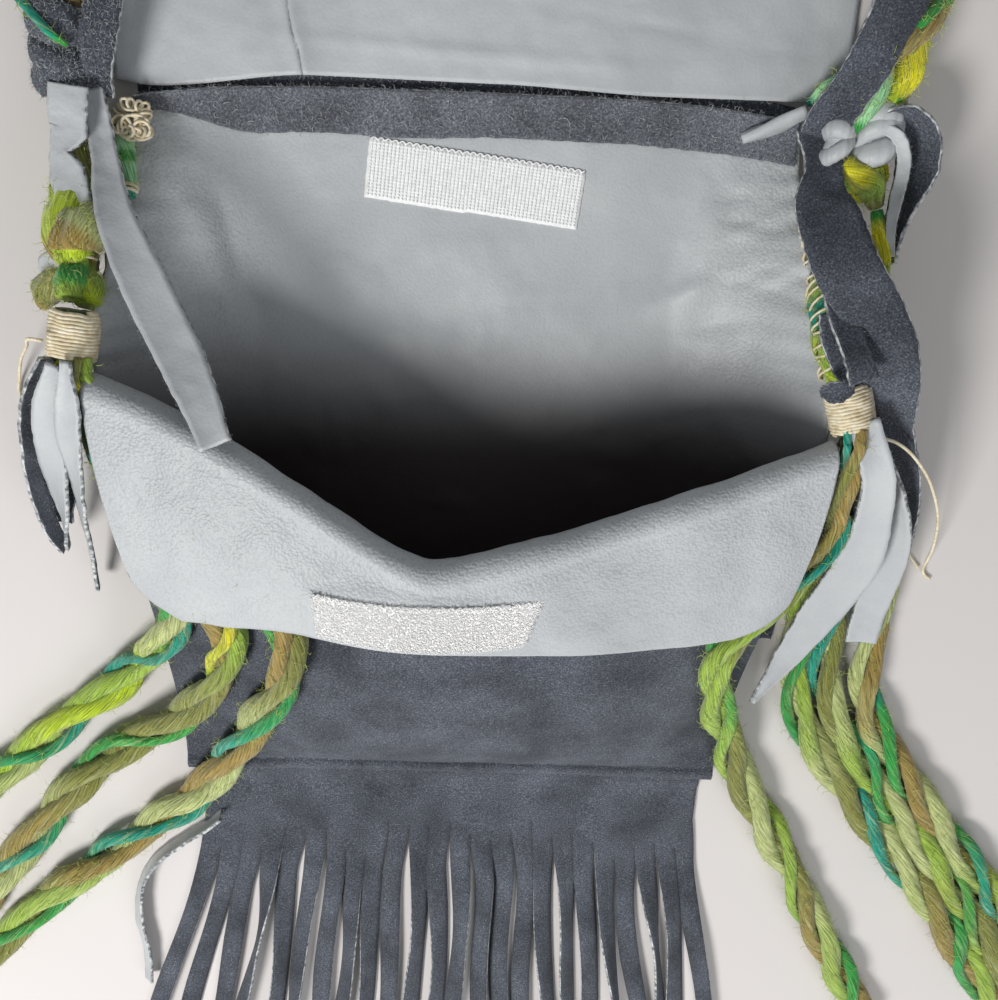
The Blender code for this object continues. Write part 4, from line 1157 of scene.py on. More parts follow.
def dyed(names, count, seed):
    """A colour for each point of a strand, running through the named dyes."""
    stops = [np.array(linear(DYES[name])) for name in names.split()]
    colours = []
    for k in range(count):
        place = k / max(count - 1, 1) * (len(stops) - 1)
        place += 0.35 * noise.noise(Vector((k * 0.11, seed, 0)))
        place = min(max(place, 0), len(stops) - 1.001)
        low = int(place)
        share = ease((place - low - 0.25) / 0.5)
        colours.append(tuple(stops[low] * (1 - share) + stops[low + 1] * share))
    return colours


# %% Tassel routes and colours
YARN_RADIUS = 6 * MM
BUNDLE_STUB = 5 * MM
YARN_NECK = 0.58
YARN_NECK_LENGTH = 130 * MM
WHIPPING_RADIUS = 8.5 * MM
WHIPPING_LENGTH = 18 * MM
WHIPPING_TURNS = 13.6
WHIPPING_RISE = 2 * MM
YARN_ROUTES = {
    "left_yarn_1": ((-4.6, -3), [(-137.8, 189.5, 44), (-135.6, 180.5, 41.5), (-130.5, 168, 43),
        (-122.5, 152.5, 46), (-116, 138.5, 46.8), (-111, 124, 45), (-107.5, 110, 42.8), (-107.5, 98, 40.2),
        (-113.6, 85.8, 34.1), (-122.7, 72.1, 26.4), (-132.2, 60.5, 14.1), (-141.5, 49.9, 7.5),
        (-155.5, 36.5, 6.4), (-176, 19, 6.4), (-196, 1, 6.4), (-217, -17.5, 6.4), (-239, -40, 6.4)]),
    "left_yarn_2": ((-0.5, -2.2), [(-133, 188, 45), (-132.6, 182.2, 44.4), (-130.3, 172.5, 46),
        (-123.9, 159.8, 50.1), (-113.7, 144.2, 49.9), (-103.9, 128.1, 49.2), (-95, 112.1, 48.2),
        (-88.5, 98.3, 47.1), (-87.5, 87.3, 44.4), (-93.1, 69.4, 37), (-107.9, 45.8, 24.1),
        (-127.8, 24.2, 11.3), (-150, 9.4, 7.1), (-173, -12.5, 6.5), (-195, -41, 6.4), (-215, -68, 6.4),
        (-233, -94, 6.4)]),
    "left_yarn_3": ((4.6, 4.4), [(-127, 190.5, 55), (-124.4, 182.2, 51.6), (-120.8, 171, 50.9),
        (-108.5, 158.1, 53.7), (-94.6, 143.2, 54.1), (-81.9, 127.8, 54.6), (-71, 112.3, 54.5),
        (-63, 97, 53.3), (-65.2, 73.5, 47.1), (-79.5, 45.6, 33.4), (-97, 15, 18.1), (-116.2, -12.5, 9),
        (-136, -30, 6.6), (-158, -48, 6.4), (-182.4, -68.5, 6.4), (-209.5, -96, 6.4), (-233, -123, 6.4)]),
    "right_yarn_1": ((0.2, 5), [(139.9, 168.1, 53.5), (140.7, 154.1, 47.8), (143.5, 142.9, 42.3),
        (139.6, 129, 40.3), (130, 116, 40.8), (117.4, 104, 42.5), (108.5, 92, 42), (106.1, 81.1, 39.2),
        (109.7, 61.7, 30.7), (116.8, 41.6, 20.5), (124.3, 23.2, 12.5), (132.7, 2.5, 7.2),
        (148, -23.4, 6.5), (164, -52.5, 6.4), (182, -86, 6.4), (200, -118, 6.4), (218, -149, 6.4)]),
    "right_yarn_2": ((1.5, -3.6), [(141.9, 169.5, 45.2), (149.1, 152.8, 34), (153.2, 137.5, 17.5),
        (152.5, 115, 8.5), (150, 92, 6.4), (149.1, 69.1, 6.4), (151.7, 48.5, 6.4), (162.8, 23.6, 6.4),
        (180, 1, 6.4), (196, -19.3, 6.4), (214.3, -42.5, 6.4), (235.4, -69.5, 6.4), (258, -100.5, 6.4),
        (279.5, -133.5, 6.4)]),
    "right_yarn_3": ((5.4, 1.2), [(149, 171.9, 49.5), (153.4, 155.3, 41), (161.6, 141.7, 27),
        (164.5, 121.5, 13.6), (164, 97.5, 7.2), (162.5, 70.5, 6.5), (165.5, 50, 6.4), (176.3, 28.7, 6.4),
        (193.2, 4.9, 6.4), (210, -16.6, 6.4), (229, -39.8, 6.4), (251, -67.5, 6.4), (273.7, -98.5, 6.4),
        (293.5, -128.5, 6.4)]),
    "right_yarn_4": ((5.6, -4.6), [(152.2, 170.9, 42.4), (163.5, 156, 32.2), (176.4, 139.7, 19.3),
        (180.7, 118, 9.1), (182, 94, 6.5), (181.3, 70, 6.5), (183.8, 47, 6.4), (195, 24.4, 6.4),
        (213, -0.1, 6.4), (231.3, -22.8, 6.4), (250.3, -45.8, 6.4), (271.5, -70, 6.4), (294, -96.5, 6.4)]),
}
YARN_DYES = {
    "left_yarn_1": [("pale lime pale chartreuse lime", 3.9), ("chartreuse lime green lime pale", 3.4),
                    ("teal green teal teal green", 2.3)],
    "left_yarn_2": [("ochre olive ochre olive ochre", 3.9), ("lime pale lime olive pale", 3.7),
                    ("green teal yellow green teal", 2.3)],
    "left_yarn_3": [("chartreuse lime olive pale lime", 3.9), ("lime lime ochre ochre olive", 3.6),
                    ("olive yellow green teal green", 2.5)],
    "right_yarn_1": [("yellow ochre olive lime pale lime", 3.8), ("ochre olive lime olive ochre", 3.5),
                     ("teal teal green lime green", 2.4)],
    "right_yarn_2": [("ochre olive pale olive ochre", 4.0), ("olive olive lime pale lime", 3.5),
                     ("teal green green teal green", 2.4)],
    "right_yarn_3": [("lime ochre pale lime ochre", 3.9), ("olive ochre olive pale olive", 3.5),
                     ("yellow lime teal green lime", 2.4)],
    "right_yarn_4": [("pale olive ochre pale lime", 3.8), ("ochre lime pale ochre lime", 3.4),
                     ("green teal teal green teal", 2.3)],
}


def edge_run(side, y):
    return (back_point(side, y + MM) - back_point(side, y - MM)).normalized()


def beside_edge(side, y, radius):
    """Centre of a round bundle that lies against the back panel's side edge."""
    edge = back_point(side, y)
    outward = edge - back_point(side * 0.98, y)
    outward -= outward.project(edge_run(side, y))
    return edge + outward.normalized() * (radius + SEAT)


def whipping_middle(side):
    return seam_end(side) + WHIPPING_RISE + WHIPPING_LENGTH / 2


def below_whipping(side, across, up, out):
    """A point in front of the whipping's lower end: across and up in its face, out from it."""
    run = edge_run(side, whipping_middle(side))
    face = beside_edge(side, whipping_middle(side), WHIPPING_RADIUS) - run * WHIPPING_LENGTH / 2
    right = run.cross(Vector((0, 0, 1))).normalized()
    return face + right * across + right.cross(run) * up - run * out


# %% Tassels
TWIST_LENGTH = 96 * MM
ORBIT = (0.62, 0.36)
FULLNESS = 1.16


def keep_off_table(made, least=0.3 * MM):
    for vertex in made.data.vertices:
        vertex.co.z = max(vertex.co.z, least)


def strand(route, radii, phase, orbit):
    """A strand that winds round a route, in a flattened loop so that it stays off the table."""
    points = []
    for k, (centre, run, walked) in enumerate(stations(route)):
        level = Vector((0, 0, 1)).cross(run).normalized()
        uneven = 0.9 * noise.noise(Vector((walked * 16, phase, 2)))
        angle = phase + uneven + 2 * math.pi * walked / TWIST_LENGTH
        points.append(centre + level * radii[k] * orbit[0] * math.cos(angle)
                      + run.cross(level) * radii[k] * orbit[1] * math.sin(angle))
    return points


for seed, (name, (seat, points)) in enumerate(YARN_ROUTES.items()):
    side = -1 if name.startswith("left") else 1
    start = [below_whipping(side, seat[0] * MM, seat[1] * MM, out)
             for out in (-2 * MM, BUNDLE_STUB / 2, BUNDLE_STUB)]
    route = smooth_route(start + in_mm(points), 8)
    radii = []
    for _, _, walked in stations(route):
        neck = YARN_NECK + (1 - YARN_NECK) * ease(walked / YARN_NECK_LENGTH)
        swell = 1 + 0.10 * noise.noise(Vector((walked * 34, seed, 4)))
        fuller = 1 + (FULLNESS - 1) * ease((walked - 0.15) / 0.05)
        radii.append(YARN_RADIUS * neck * swell * fuller)
    strands = []
    for turn, (names, width) in enumerate(YARN_DYES[name]):
        reach = 1.0 if turn < 2 else 1.45
        path = strand(route, radii, 1.7 * seed + turn * 2.1, (ORBIT[0] * reach, ORBIT[1] * reach))
        knobbly = 0.14 if turn < 2 else 0.3
        widths = [width * MM * radius / YARN_RADIUS
                  * (1 + knobbly * noise.noise(Vector((k * 0.13, seed, turn))))
                  for k, radius in enumerate(radii)]
        widths[-1] *= 0.4
        strands.append(sweep(f"{name}_strand", path, widths, WOOL, sides=24, lobes=0.34,
                             colours=dyed(names, len(path), seed + turn)))
    tassel = join(strands, name + "_wool")
    keep_off_table(tassel)
    hand_over(tassel, name)
    print(name, "length", round(walked, 3), "m,", len(tassel.data.polygons), "faces")

# %% [markdown]
# The strap is a loose twist of flat suede strips and round wool strands. Each winds slowly round
# the strap's middle line.

# %% Strap
STRAP_ORBIT = 7.9 * MM
STRAP_PITCH = 230 * MM
STRAP_ROUTE = [
    (145, 291.7, 12.5), (145.5, 316, 10.2), (148, 350, 9.6), (153, 400, 9.6), (163, 455, 9.6),
    (176, 512, 9.6), (182, 572, 9.6), (168, 632, 9.6), (128, 682, 9.6), (66, 708, 9.6),
    (-6, 712, 9.6), (-78, 700, 9.6), (-134, 664, 9.6), (-168, 610, 9.6), (-178, 548, 9.6),
    (-172, 486, 9.6), (-158, 430, 9.6), (-145, 378, 9.6), (-138.6, 336, 10.4), (-138, 312.2, 13),
]


def flat_strand(name, route, phase, width, faces):
    """A leather strip that winds round a route with its flat side outwards."""
    rows = []
    for centre, run, walked in stations(route):
        level = Vector((0, 0, 1)).cross(run).normalized()
        upward = run.cross(level)
        angle = phase + 2 * math.pi * walked / STRAP_PITCH
        row = []
        for j in range(9):
            here = angle + (j / 8 - 0.5) * width / STRAP_ORBIT
            outward = level * math.cos(here) + upward * math.sin(here)
            row.append(centre + outward * STRAP_ORBIT * (1 - 0.03 * math.cos(2 * here)))
        rows.append(row)
    return walled(grid_object(name, rows), name, (*faces, EDGE), 1.3 * MM)


def length_of(route):
    return sum((b - a).length for a, b in zip(route, route[1:]))


route = smooth_route(in_mm(STRAP_ROUTE), 14)
strap_strands = [flat_strand("strap_suede_1", route, -0.6, 20 * MM, (SUEDE, GRAIN)),
                 flat_strand("strap_suede_2", route, 4.6, 11 * MM, (GRAIN, SUEDE))]
for turn, (phase, place, width, names) in enumerate((
        (2.5, 5.6, 3.6, "pale ochre ochre lime pale olive ochre lime pale ochre"),
        (3.2, 6.0, 3.4, "yellow chartreuse lime ochre olive lime pale yellow ochre"),
        (2.0, 6.6, 2.3, "green teal teal green teal lime teal green yellow teal"),
        (0.2, 1.2, 4.8, "ochre olive ochre lime olive ochre"))):
    path = []
    for centre, run, walked in stations(route):
        level = Vector((0, 0, 1)).cross(run).normalized()
        angle = phase + 2 * math.pi * walked / STRAP_PITCH + 0.5 * noise.noise(Vector((walked * 18, turn, 0)))
        path.append(centre + (level * math.cos(angle) + run.cross(level) * math.sin(angle)) * place * MM)
    widths = [width * MM * (1 + 0.16 * noise.noise(Vector((k * 0.1, turn, 1)))) for k in range(len(path))]
    strap_strands.append(sweep(f"strap_wool_{turn}", path, widths, WOOL, sides=18, lobes=0.3,
                               colours=dyed(names, len(path), turn)))
strap = join(strap_strands, "strap_twist")
keep_off_table(strap)
hand_over(strap, "strap")

# %% [markdown]
# The wool edge ropes are couched down: they lie along the mouth's edge and cream thread laps over
# them every few millimetres. One tree sets stitches along a line; another winds thread on a spool.


# %% Edge ropes
ROPE_SHAPE = {-1: [(0, 6.0), (0.07, 7.4), (0.14, 5.0), (0.2, 8.6), (0.34, 11.4), (0.48, 9.6), (0.63, 4.6),
                   (1, 5.5)],
              1: [(0, 6.4), (0.2, 9.0), (0.4, 7.6), (0.5, 5.6), (0.66, 7.6), (0.8, 6.0), (1, 5.2)]}
ROPE_DYES = {-1: ("lime green chartreuse ochre pale pale pale lime moss moss olive moss",
                  "chartreuse lime ochre ochre chartreuse chartreuse yellow lime moss olive moss olive"),
             1: ("chartreuse lime lime chartreuse moss teal lime pale lime chartreuse",
                 "yellow lime chartreuse teal lime moss yellow lime yellow yellow")}
KNOTS = {-1: (-138 * MM, 298 * MM, 13.5 * MM, 12 * MM, 27 * MM),
         1: (145 * MM, 281 * MM, 13.0 * MM, 9.5 * MM, 20 * MM)}
ROPE_BEND = 14 * MM
rope_routes = {}
for side, label in ((-1, "left"), (1, "right")):
    x, y, z, _radius, length = KNOTS[side]
    start = seam_end(side) + WHIPPING_RISE + WHIPPING_LENGTH - (3 * MM if side > 0 else -3 * SEAT)
    end = y - length / 2 - SEAT
    marks = [beside_edge(side, start + (end - ROPE_BEND - start) * k / 12, 6 * MM) for k in range(13)]
    for k, mark in enumerate(marks):
        mark.x -= (5.5 if side < 0 else 1.5) * MM * math.exp(-((k / 12 - 0.36) / 0.17) ** 2)
    marks += [Vector((x, end - ROPE_BEND / 3, z)), Vector((x, end, z))]
    route = smooth_route(marks, 6)
    rope_routes[side] = route
    widths = [along(ROPE_SHAPE[side], k / (len(route) - 1)) * MM for k in range(len(route))]
    strands = []
    for turn, names in enumerate(ROPE_DYES[side]):
        path = strand(route, widths, turn * math.pi + 0.8, (0.42, 0.42))
        swelled = [0.72 * width * (1 + 0.1 * noise.noise(Vector((k * 0.12, side, turn))))
                   for k, width in enumerate(widths)]
        strands.append(sweep(f"{label}_rope_strand", path, swelled, WOOL, sides=24, lobes=0.36,
                             colours=dyed(names, len(path), turn + 3)))
    rope = join(strands, f"{label}_edge_rope_wool")
    keep_off_table(rope)
    hand_over(rope, f"{label}_edge_rope")
print("Edge ropes:", [len(route) for route in rope_routes.values()], "stations")

# %% A tree that winds thread on a bundle
WINDING_TREE, node, given = new_tree("thread wound on a bundle", Turns=9.0, Radius=0.008, Length=0.018,
                                     Thread=0.001, Wander=0.0004, Finish="Material")
spool = node("GeometryNodeCurveSpiral", {"Resolution": 40, "Rotations": given["Turns"],
                                         "Start Radius": given["Radius"], "End Radius": given["Radius"],
                                         "Height": given["Length"]})
uneven = node("ShaderNodeTexNoise", {"Scale": 190.0, "Detail": 1.0})
centred = node("ShaderNodeVectorMath", {0: uneven.outputs["Color"], 1: (0.5, 0.5, 0.5)}, operation="SUBTRACT")
pushed = node("ShaderNodeVectorMath", {0: centred, "Scale": given["Wander"]}, operation="SCALE")
moved = node("GeometryNodeSetPosition", {"Geometry": spool, "Offset": pushed})
section = node("GeometryNodeCurvePrimitiveCircle", {"Resolution": 8, "Radius": given["Thread"]})
give_out(node, given, node("GeometryNodeCurveToMesh", {"Curve": moved, "Profile Curve": section,
                                                       "Fill Caps": True}))

# %% Whippings
WOUND_LENGTH = WHIPPING_LENGTH - 1.4 * MM
for side, label in ((-1, "left"), (1, "right")):
    middle = whipping_middle(side)
    axis = edge_run(side, middle)
    centre = beside_edge(side, middle, WHIPPING_RADIUS) + Vector((max(side, 0), 0, 0)) * MM
    winding = grown(WINDING_TREE, f"{label}_whipping_thread", {
        "Turns": WHIPPING_TURNS, "Radius": WHIPPING_RADIUS - 0.7 * MM, "Length": WOUND_LENGTH,
        "Thread": 0.74 * MM, "Wander": 1.4 * MM, "Finish": THREAD})
    core = sweep("whipping_core", [Vector((0, 0, k * (WHIPPING_LENGTH - 1.2 * MM) / 4)) for k in range(5)],
                 WHIPPING_RADIUS - 1.4 * MM, WOOL, sides=16, colours=[linear(DYES["moss"])] * 5)
    whipping = join([winding, core], f"{label}_whipping_thread")
    for vertex in whipping.data.vertices:
        from_middle = 2 * vertex.co.z / WOUND_LENGTH - 1
        vertex.co.xy *= (0.96 if side > 0 else 1.02) - 0.12 * from_middle**4
    slant = Matrix.Rotation(math.radians(13 if side > 0 else -4), 4, "Y")
    turn = axis.to_track_quat("Z", "Y").to_matrix().to_4x4()
    whipping.data.transform(Matrix.Translation(centre - axis * (WHIPPING_LENGTH / 2 - 0.8 * MM)) @ turn @ slant)
    whipping.data.shade_smooth()
    hand_over(whipping, f"{label}_whipping")
    print(whipping.name, len(whipping.data.polygons), "faces")

# %% A tree that sets a shape again and again along a line
STITCH_TREE, node, given = new_tree("stitches along a line", Geometry="Geometry", Shape="Object", Pitch=0.006,
                                    Stray=0.2, Finish="Material")
line = node("GeometryNodeMeshToCurve", {"Mesh": given["Geometry"]})
points = node("GeometryNodeCurveToPoints", {"Curve": line, "Length": given["Pitch"]}, mode="LENGTH").outputs
set_shapes(node, given, points["Points"],
           turned_by_chance(node, points["Rotation"], [given["Stray"]] * 3, 3))


def line_mesh(name, points):
    mesh = bpy.data.meshes.new(name)
    mesh.from_pydata([tuple(point) for point in points], [(k, k + 1) for k in range(len(points) - 1)], [])
    return mesh


# %% Couching stitches: (first and last place on the rope's route, millimetres between stitches)
CLUSTERS = {-1: [(8, 16, 13)], 1: [(2, 8, 1.7), (12, 27, 2.9), (31, 38, 2.0), (46, 60, 2.6)]}
for side, label in ((-1, "left"), (1, "right")):
    girth = 8.4 * MM if side > 0 else 6.6 * MM
    lap = [Vector((math.cos(a), math.sin(a), 0.12 * a)) * girth
           for a in [2 * math.pi * k / 20 for k in range(21)]]
    stitch = sweep("couching_shape", lap, 0.5 * MM, THREAD, sides=5)
    laps = join([grown(STITCH_TREE, f"{label}_couching_stitches",
                       {"Shape": stitch, "Pitch": pitch * MM, "Stray": 0.26, "Finish": THREAD},
                       base=line_mesh("rope line", rope_routes[side][first:last]))
                 for first, last, pitch in CLUSTERS[side]], f"{label}_couching_stitches")
    laps.data.shade_smooth()
    keep_off_table(laps)
    hand_over(laps)
    bpy.data.objects.remove(stitch, do_unlink=True)
    print(laps.name, len(laps.data.polygons), "faces")

# %% [markdown]
# A strip wound on itself makes each hard knot at the strap's ends. It is a core with two or
# three bands of leather lapped over it, every band tilted another way.


# %% Strap knots
KNOT_PROFILE = [0.45, 0.78, 0.95, 1.0, 0.92, 0.82, 0.9, 1.0, 0.93, 0.72, 0.4]


def knot(name, place, faces, bands, seed):
    """bands: for each lap of leather its place along the knot, its tilt and its width."""
    x, y, z, radius, length = place
    pieces = [sweep(name + "_core", [Vector((0, (k / 10 - 0.5) * length * 0.96, 0)) for k in range(11)],
                    [0.8 * radius * size for size in KNOT_PROFILE], faces[0], sides=18)]
    for band, (place_along, tilt, width) in enumerate(bands):
        rows = []
        for k in range(49):
            angle = 2 * math.pi * k / 48 * 1.04
            pleats = 0.02 * math.sin(3 * angle + seed) + 0.028 * math.sin(13 * angle + seed)
            lap = radius * (0.86 + 0.07 * k / 48 + pleats)
            row = []
            for j in range(7):
                across = (j / 6 - 0.5) * width * MM
                bulge = 1 - 1.1 * (j / 6 - 0.5) ** 2
                row.append(Vector((math.cos(angle) * lap * bulge,
                                   place_along * MM + across + math.tan(tilt) * lap * math.cos(angle + band),
                                   math.sin(angle) * lap * bulge)))
            rows.append(row)
        pieces.append(walled(grid_object(name + "_lap", rows), name + "_lap", (*faces, EDGE), 1.3 * MM))
    made = join(pieces, name)
    made.data.transform(Matrix.Translation((x, y, z)))
    for vertex in made.data.vertices:
        vertex.co += Vector((0, 0, 1)) * 0.6 * MM * noise.noise(vertex.co * 160)
    keep_off_table(made)
    made.data.shade_smooth()
    return made


LEATHER_KNOTS = {
    "left_strap_knot_leather": (KNOTS[-1], (SUEDE, GRAIN), "suede", "left_strap_knot",
                                [(-7, 0.2, 12), (6, -0.35, 13), (0, 0.5, 10)]),
    "right_strap_knot_leather": (KNOTS[1], (GRAIN, SUEDE), "grain", "right_strap_knot",
                                 [(-5, 0.3, 9), (5, -0.3, 9), (0, -0.5, 8)]),
    "right_small_knot": ((130.5 * MM, 279 * MM, 16 * MM, 6 * MM, 13 * MM), (GRAIN, SUEDE), "grain", None,
                         [(-3, 0.5, 6), (3, -0.2, 6)]),
}
for seed, (name, (place, faces, slot, solid, bands)) in enumerate(LEATHER_KNOTS.items(), 1):
    tied = knot(name, place, faces, bands, seed)
    hand_over(tied, solid)
    print(name, len(tied.data.polygons), "faces")

corner_roll = sweep("right_corner_roll",
                    smooth_route(in_mm([(99, 278, 6), (106.3, 281.4, 8), (112.4, 284.6, 9.5),
                                        (119.5, 288.2, 11.5)]), 6),
                    [(2.0 + 1.3 * math.sin(math.pi * (0.1 + 0.8 * k / 18))) * MM for k in range(19)],
                    GRAIN, sides=18, squash=0.6, lobes=0.5)
hand_over(corner_roll)

# %% [markdown]
# Soft wool puffs out where the knots pinch it: bright strands beside the right strap strip, a
# loop of wool below the knots, and a short ochre tuft at the left. Each is a short fat sweep.

# %% Puffs of wool
PUFFS = {
    "right_strap_wool": [
        ("ochre ochre ochre", [(160, 326, 15, 2.4), (154.3, 317.1, 19.5, 3.4), (145.7, 310.3, 22.5, 3.4),
                               (138.1, 303.7, 24, 2.6), (134.3, 299.6, 21, 1.6)]),
        ("lime yellow yellow chartreuse", [(155, 324, 13, 3.0), (151.5, 313, 16.5, 4.6), (149.3, 301, 18, 5.2),
                                           (145.5, 290.5, 17.5, 2.4)]),
        ("teal green teal", [(164, 329, 12, 2.0), (156.5, 322, 18.5, 2.6), (150, 316.5, 21.5, 2.4),
                             (146, 312, 20, 1.4)]),
        ("pale mint green", [(142.5, 305, 20, 2.0), (139.8, 296, 21.5, 3.6), (136.5, 288.5, 20.5, 3.2),
                             (134.5, 282.5, 17.5, 1.6)]),
        ("teal mint teal", [(120.5, 290.5, 8.5, 1.4), (124.5, 295.5, 12, 2.4), (128.5, 299.5, 15, 1.6)]),
        ("yellow yellow lime olive", [(133.5, 272, 17, 2.4), (138, 268.8, 18, 4.4), (144, 264.5, 17.5, 5.4),
                                      (147.5, 257, 17, 2.4)]),
        ("green yellow lime", [(147.5, 256, 18, 2.0), (149, 248, 20.5, 3.0), (150.6, 240.4, 24, 2.4),
                               (150, 233, 29, 1.6)])],
    "left_moss_wool": [
        ("moss olive moss", [(-134, 274, 17, 2.2), (-135.5, 266, 19, 4.6), (-134.5, 257, 21, 4.4),
                             (-132.5, 250, 24, 3.0)]),
        ("lime chartreuse", [(-138.6, 266, 14, 1.0), (-141.4, 259, 17, 2.2), (-142.6, 252, 22, 3.0),
                             (-141.5, 245, 26, 2.6)])],
    "left_teal_yarn": [
        ("teal teal green", [(-153.5, 317, 17, 1.2), (-147.5, 312.4, 21, 1.7), (-142, 307.5, 24.5, 1.6),
                             (-137.5, 303, 26, 1.4), (-133, 299, 23, 0.8)])],
    "left_ochre_tuft": [
        ("ochre olive ochre", [(-134, 226, 37, 3.0), (-141, 222.8, 34, 4.6), (-147.2, 218.5, 28.5, 5.0),
                               (-151.5, 212.5, 23.5, 2.2)])],
}
for seed, (name, strands) in enumerate(PUFFS.items()):
    tubes = []
    for names, points in strands:
        route = smooth_route(in_mm(points), 7)
        widths = np.interp(np.arange(len(route)), np.arange(len(points)) * 7, [point[3] for point in points])
        tubes.append(sweep(name, route, [width * MM for width in widths], WOOL, sides=20, lobes=0.36,
                           colours=dyed(names, len(route), seed)))
    puff = join(tubes, name)
    hand_over(puff)
    print(name, len(puff.data.polygons), "faces")

# %% [markdown]
# At the left top corner the sewing thread was tied off in a cluster of loops, and a short length
# of green wool is lashed to the edge with the same thread.

# %% Thread knot and lashed wool
TANGLE = [(-122, 279.5, 12), (-118, 281.5, 13), (-113.5, 280.5, 13), (-112, 277, 14), (-117, 276, 15.5),
          (-121.5, 275.5, 15), (-119, 272.5, 16.5), (-114.5, 272, 16), (-111.8, 273, 15)]
coils = []
for ply in range(2):
    coil = []
    for k, place in enumerate(smooth_route(in_mm(TANGLE), 14)):
        wander = Vector([noise.noise(Vector((0.09 * k, 7.3 * ply, layer))) for layer in (2.0, 15.3, 6.8)])
        tilt = Matrix.Rotation(1.7 * wander.x, 3, "X") @ Matrix.Rotation(1.7 * wander.y, 3, "Y")
        size = (2.3 + 1.1 * wander.z) * MM
        angle = 0.47 * k + 2.6 * ply
        coil.append(place + tilt @ Vector((math.cos(angle), 0.9 * math.sin(angle), 0)) * size)
    coils.append(coil)
coils.append(in_mm([(-112.9 + 2.9 * math.cos(0.4 * k), 273.6 + 2.7 * math.sin(0.4 * k), 16.5)
                    for k in range(17)]))
thread_knot = join([sweep("thread_coil", coil, 0.55 * MM, THREAD, sides=8) for coil in coils],
                   "left_thread_knot")
hand_over(thread_knot)

lashed_route = smooth_route(in_mm([(-121, 272, 10.5), (-120, 265, 13.5), (-119, 258, 16.5),
                                   (-119, 251, 19.5)]), 8)
lashed = sweep("lashed_wool", lashed_route, [(3.3 - 0.5 * k / 24) * MM for k in range(25)], WOOL, sides=12,
               colours=dyed("mint mint green mint mint teal", 25, 2))
start, end = lashed_route[0], lashed_route[-1]
lashing = grown(WINDING_TREE, "lashing", {"Turns": 2.0, "Radius": 3.4 * MM, "Length": 3.4 * MM,
                                          "Thread": 0.6 * MM, "Wander": 0.8 * MM, "Finish": THREAD})
turn = (end - start).to_track_quat("Z", "Y").to_matrix().to_4x4()
lashing.data.transform(Matrix.Translation(start + (end - start) * 0.78) @ turn)
lashed = join([lashed, lashing], "left_lashed_wool")
lashed.data.shade_smooth()
hand_over(lashed)
print("Thread knot and lashing:", len(thread_knot.data.polygons) + len(lashed.data.polygons), "faces")

# %% [markdown]
# Nothing here has a hard outline: cut leather sheds fibres along its edges and wool has a halo.
# One tree grows short curved hairs on a surface: on faces of one finish only, so the same tree
# serves the raw edges of the leather and the whole skin of the wool.


# %% A tree that grows hairs
HAIR_TREE, node, given = new_tree("hairs on a surface", Geometry="Geometry", Shape="Object", On="Material",
                                  Density=20000.0, Stray=0.9, Shortest=0.4, Longest=1.2, Finish="Material")
right_finish = node("GeometryNodeMaterialSelection", {"Material": given["On"]})
roots = node("GeometryNodeDistributePointsOnFaces", {"Mesh": given["Geometry"], "Selection": right_finish,
                                                     "Density": given["Density"], "Seed": 11}).outputs
size = node("FunctionNodeRandomValue", {2: given["Shortest"], 3: given["Longest"], "Seed": 9},
            data_type="FLOAT")
faced = turned_by_chance(node, roots["Rotation"], (given["Stray"], given["Stray"], 3.1), 4)
set_shapes(node, given, roots["Points"], faced, Scale=size.outputs[1])


def plain_fibre(name, code):
    """A hair's finish: one tone with a slight mottle, dull."""
    made, node, shader = new_material(name)
    place = node("ShaderNodeTexCoord").outputs["Object"]
    tone = node("ShaderNodeTexNoise", {"Vector": place, "Scale": 300.0})
    brighter = node("ShaderNodeMath", {0: tone, 1: 0.6}, operation="ADD")
    colour = node("ShaderNodeHueSaturation", {"Value": brighter, "Color": linear(code)})
    set_inputs(shader, {"Base Color": colour, "Roughness": 0.9})
    return made


PALE_HAIR = plain_fibre("loose leather fibres, pale", "#BFC2C3")
WOOL_HAIR = plain_fibre("loose wool fibres, lime", "#B4C46A")
hair = sweep("hair_shape", in_mm([(0, 0, 0), (0.25, 0.05, 0.5), (0.85, 0.16, 0.75), (1.5, -0.15, 0.6)]),
             [0.05 * MM, 0.046 * MM, 0.04 * MM, 0.02 * MM], PALE_HAIR, sides=3)


def grow_hair(sources, name, body, on, density, stray, sizes, finish):
    """Hairs on the finish `on` of some pieces, as one plain mesh that rides on their body."""
    made = join([grown(HAIR_TREE, name, {"Shape": hair, "On": on, "Density": float(density), "Stray": stray,
                                         "Shortest": sizes[0], "Longest": sizes[1], "Finish": finish},
                       base=bpy.data.objects[source].data.copy()) for source in sources], name)
    keep_off_table(made, 0.2 * MM)
    hand_over(made, body=body)
    print(name, len(made.data.polygons), "faces")

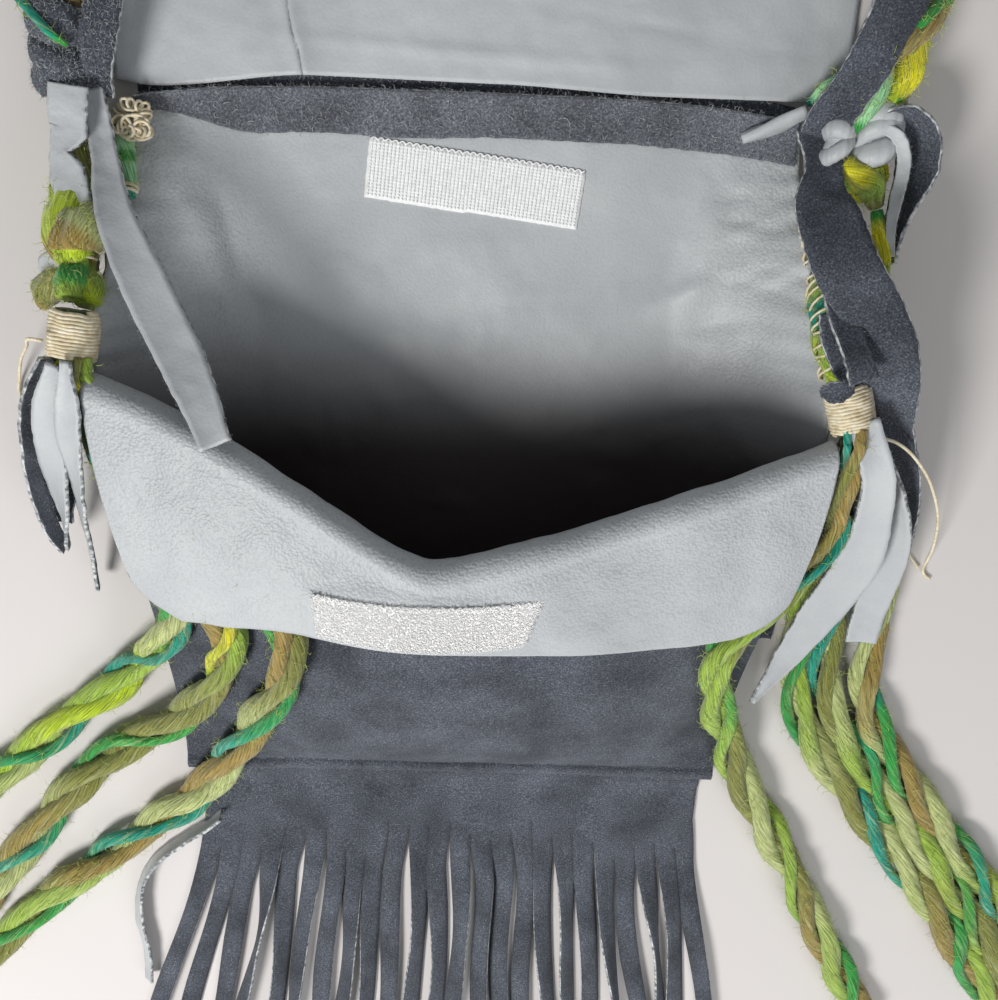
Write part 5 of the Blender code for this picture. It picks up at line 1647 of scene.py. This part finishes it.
# %% Hairs on raw edges and on wool
FIBRES = [
    ("flap_edge_fibres", "flap", ["flap_leather"], EDGE, 600000, 0.9, (0.4, 1.2)),
    ("panel_edge_fibres", "bag", ["front_panel_leather", "back_panel_leather"], EDGE, 500000, 0.9, (0.3, 1.1)),
    ("band_edge_fibres", "bag", ["top_band_suede"], EDGE, 2000000, 1.2, (0.4, 1.3)),
    ("band_nap", "bag", ["top_band_suede"], BAND_SUEDE, 200000, 1.2, (0.4, 2.0)),
    ("fringe_edge_fibres", "bag", ["fringe_leather"], EDGE, 300000, 1.0, (0.3, 0.9)),
    ("thong_edge_fibres", "bag", [name + "_leather" for name in [*STRIPS, *SCRAPS]], EDGE, 900000, 1.0,
     (0.3, 0.9)),
    ("knot_nap", "bag", ["left_strap_knot_leather", "left_strap_side_strip_leather"], SUEDE, 700000, 1.2,
     (0.5, 1.5)),
]
for name, body, sources, on, density, stray, sizes in FIBRES:
    grow_hair(sources, name, body, on, density, stray, sizes, PALE_HAIR)
WOOL_PIECES = {"left_wool_halo": ([f"left_yarn_{k}_wool" for k in (1, 2, 3)], 90000),
               "right_wool_halo_1": (["right_yarn_1_wool", "right_yarn_2_wool"], 90000),
               "right_wool_halo_2": (["right_yarn_3_wool", "right_yarn_4_wool"], 90000),
               "rope_halo": (["left_edge_rope_wool", "left_lashed_wool", "right_edge_rope_wool",
                              "right_strap_wool", "left_ochre_tuft", "left_moss_wool", "left_teal_yarn"],
                             220000),
               "strap_wool_halo": (["strap_twist"], 50000)}
for name, (sources, density) in WOOL_PIECES.items():
    grow_hair(sources, name, "bag", WOOL, density, 1.35, (0.6, 2.6), WOOL_HAIR)

# %% [markdown]
# Ends of the whipping thread were left long. They are free cords 1.2 mm thick, and fall from the
# whipping to the table.

# %% Loose threads
LOOSE_THREADS = {
    "left_loose_thread": [(-138, 208, 60), (-147, 206, 50), (-156, 199, 32), (-166, 190, 16), (-173, 180, 4),
                          (-175, 172, 1.2), (-171, 160, 0.9)],
    "right_loose_thread": [(148.1, 182.8, 56), (155.7, 180.1, 54), (164.7, 173.4, 50), (178.0, 159.4, 38),
                           (191.4, 139.7, 22), (198.5, 120.9, 9), (199.8, 107.5, 2), (204.2, 102.8, 0.9)],
    "right_short_thread": [(172, 158, 24), (178, 143, 14), (184, 131, 7), (190, 118, 2), (198, 108, 0.9)],
}
for name, points in LOOSE_THREADS.items():
    route = smooth_route(in_mm(points), 8)
    length = length_of(route)
    end = sweep(name, route, 0.6 * MM, THREAD, sides=8)
    hand_over(end)
    print(name, round(length, 3), "m")

# %% Shapes that were only lent to the trees go
for lent in (rib, loop, hair):
    bpy.data.objects.remove(lent, do_unlink=True)
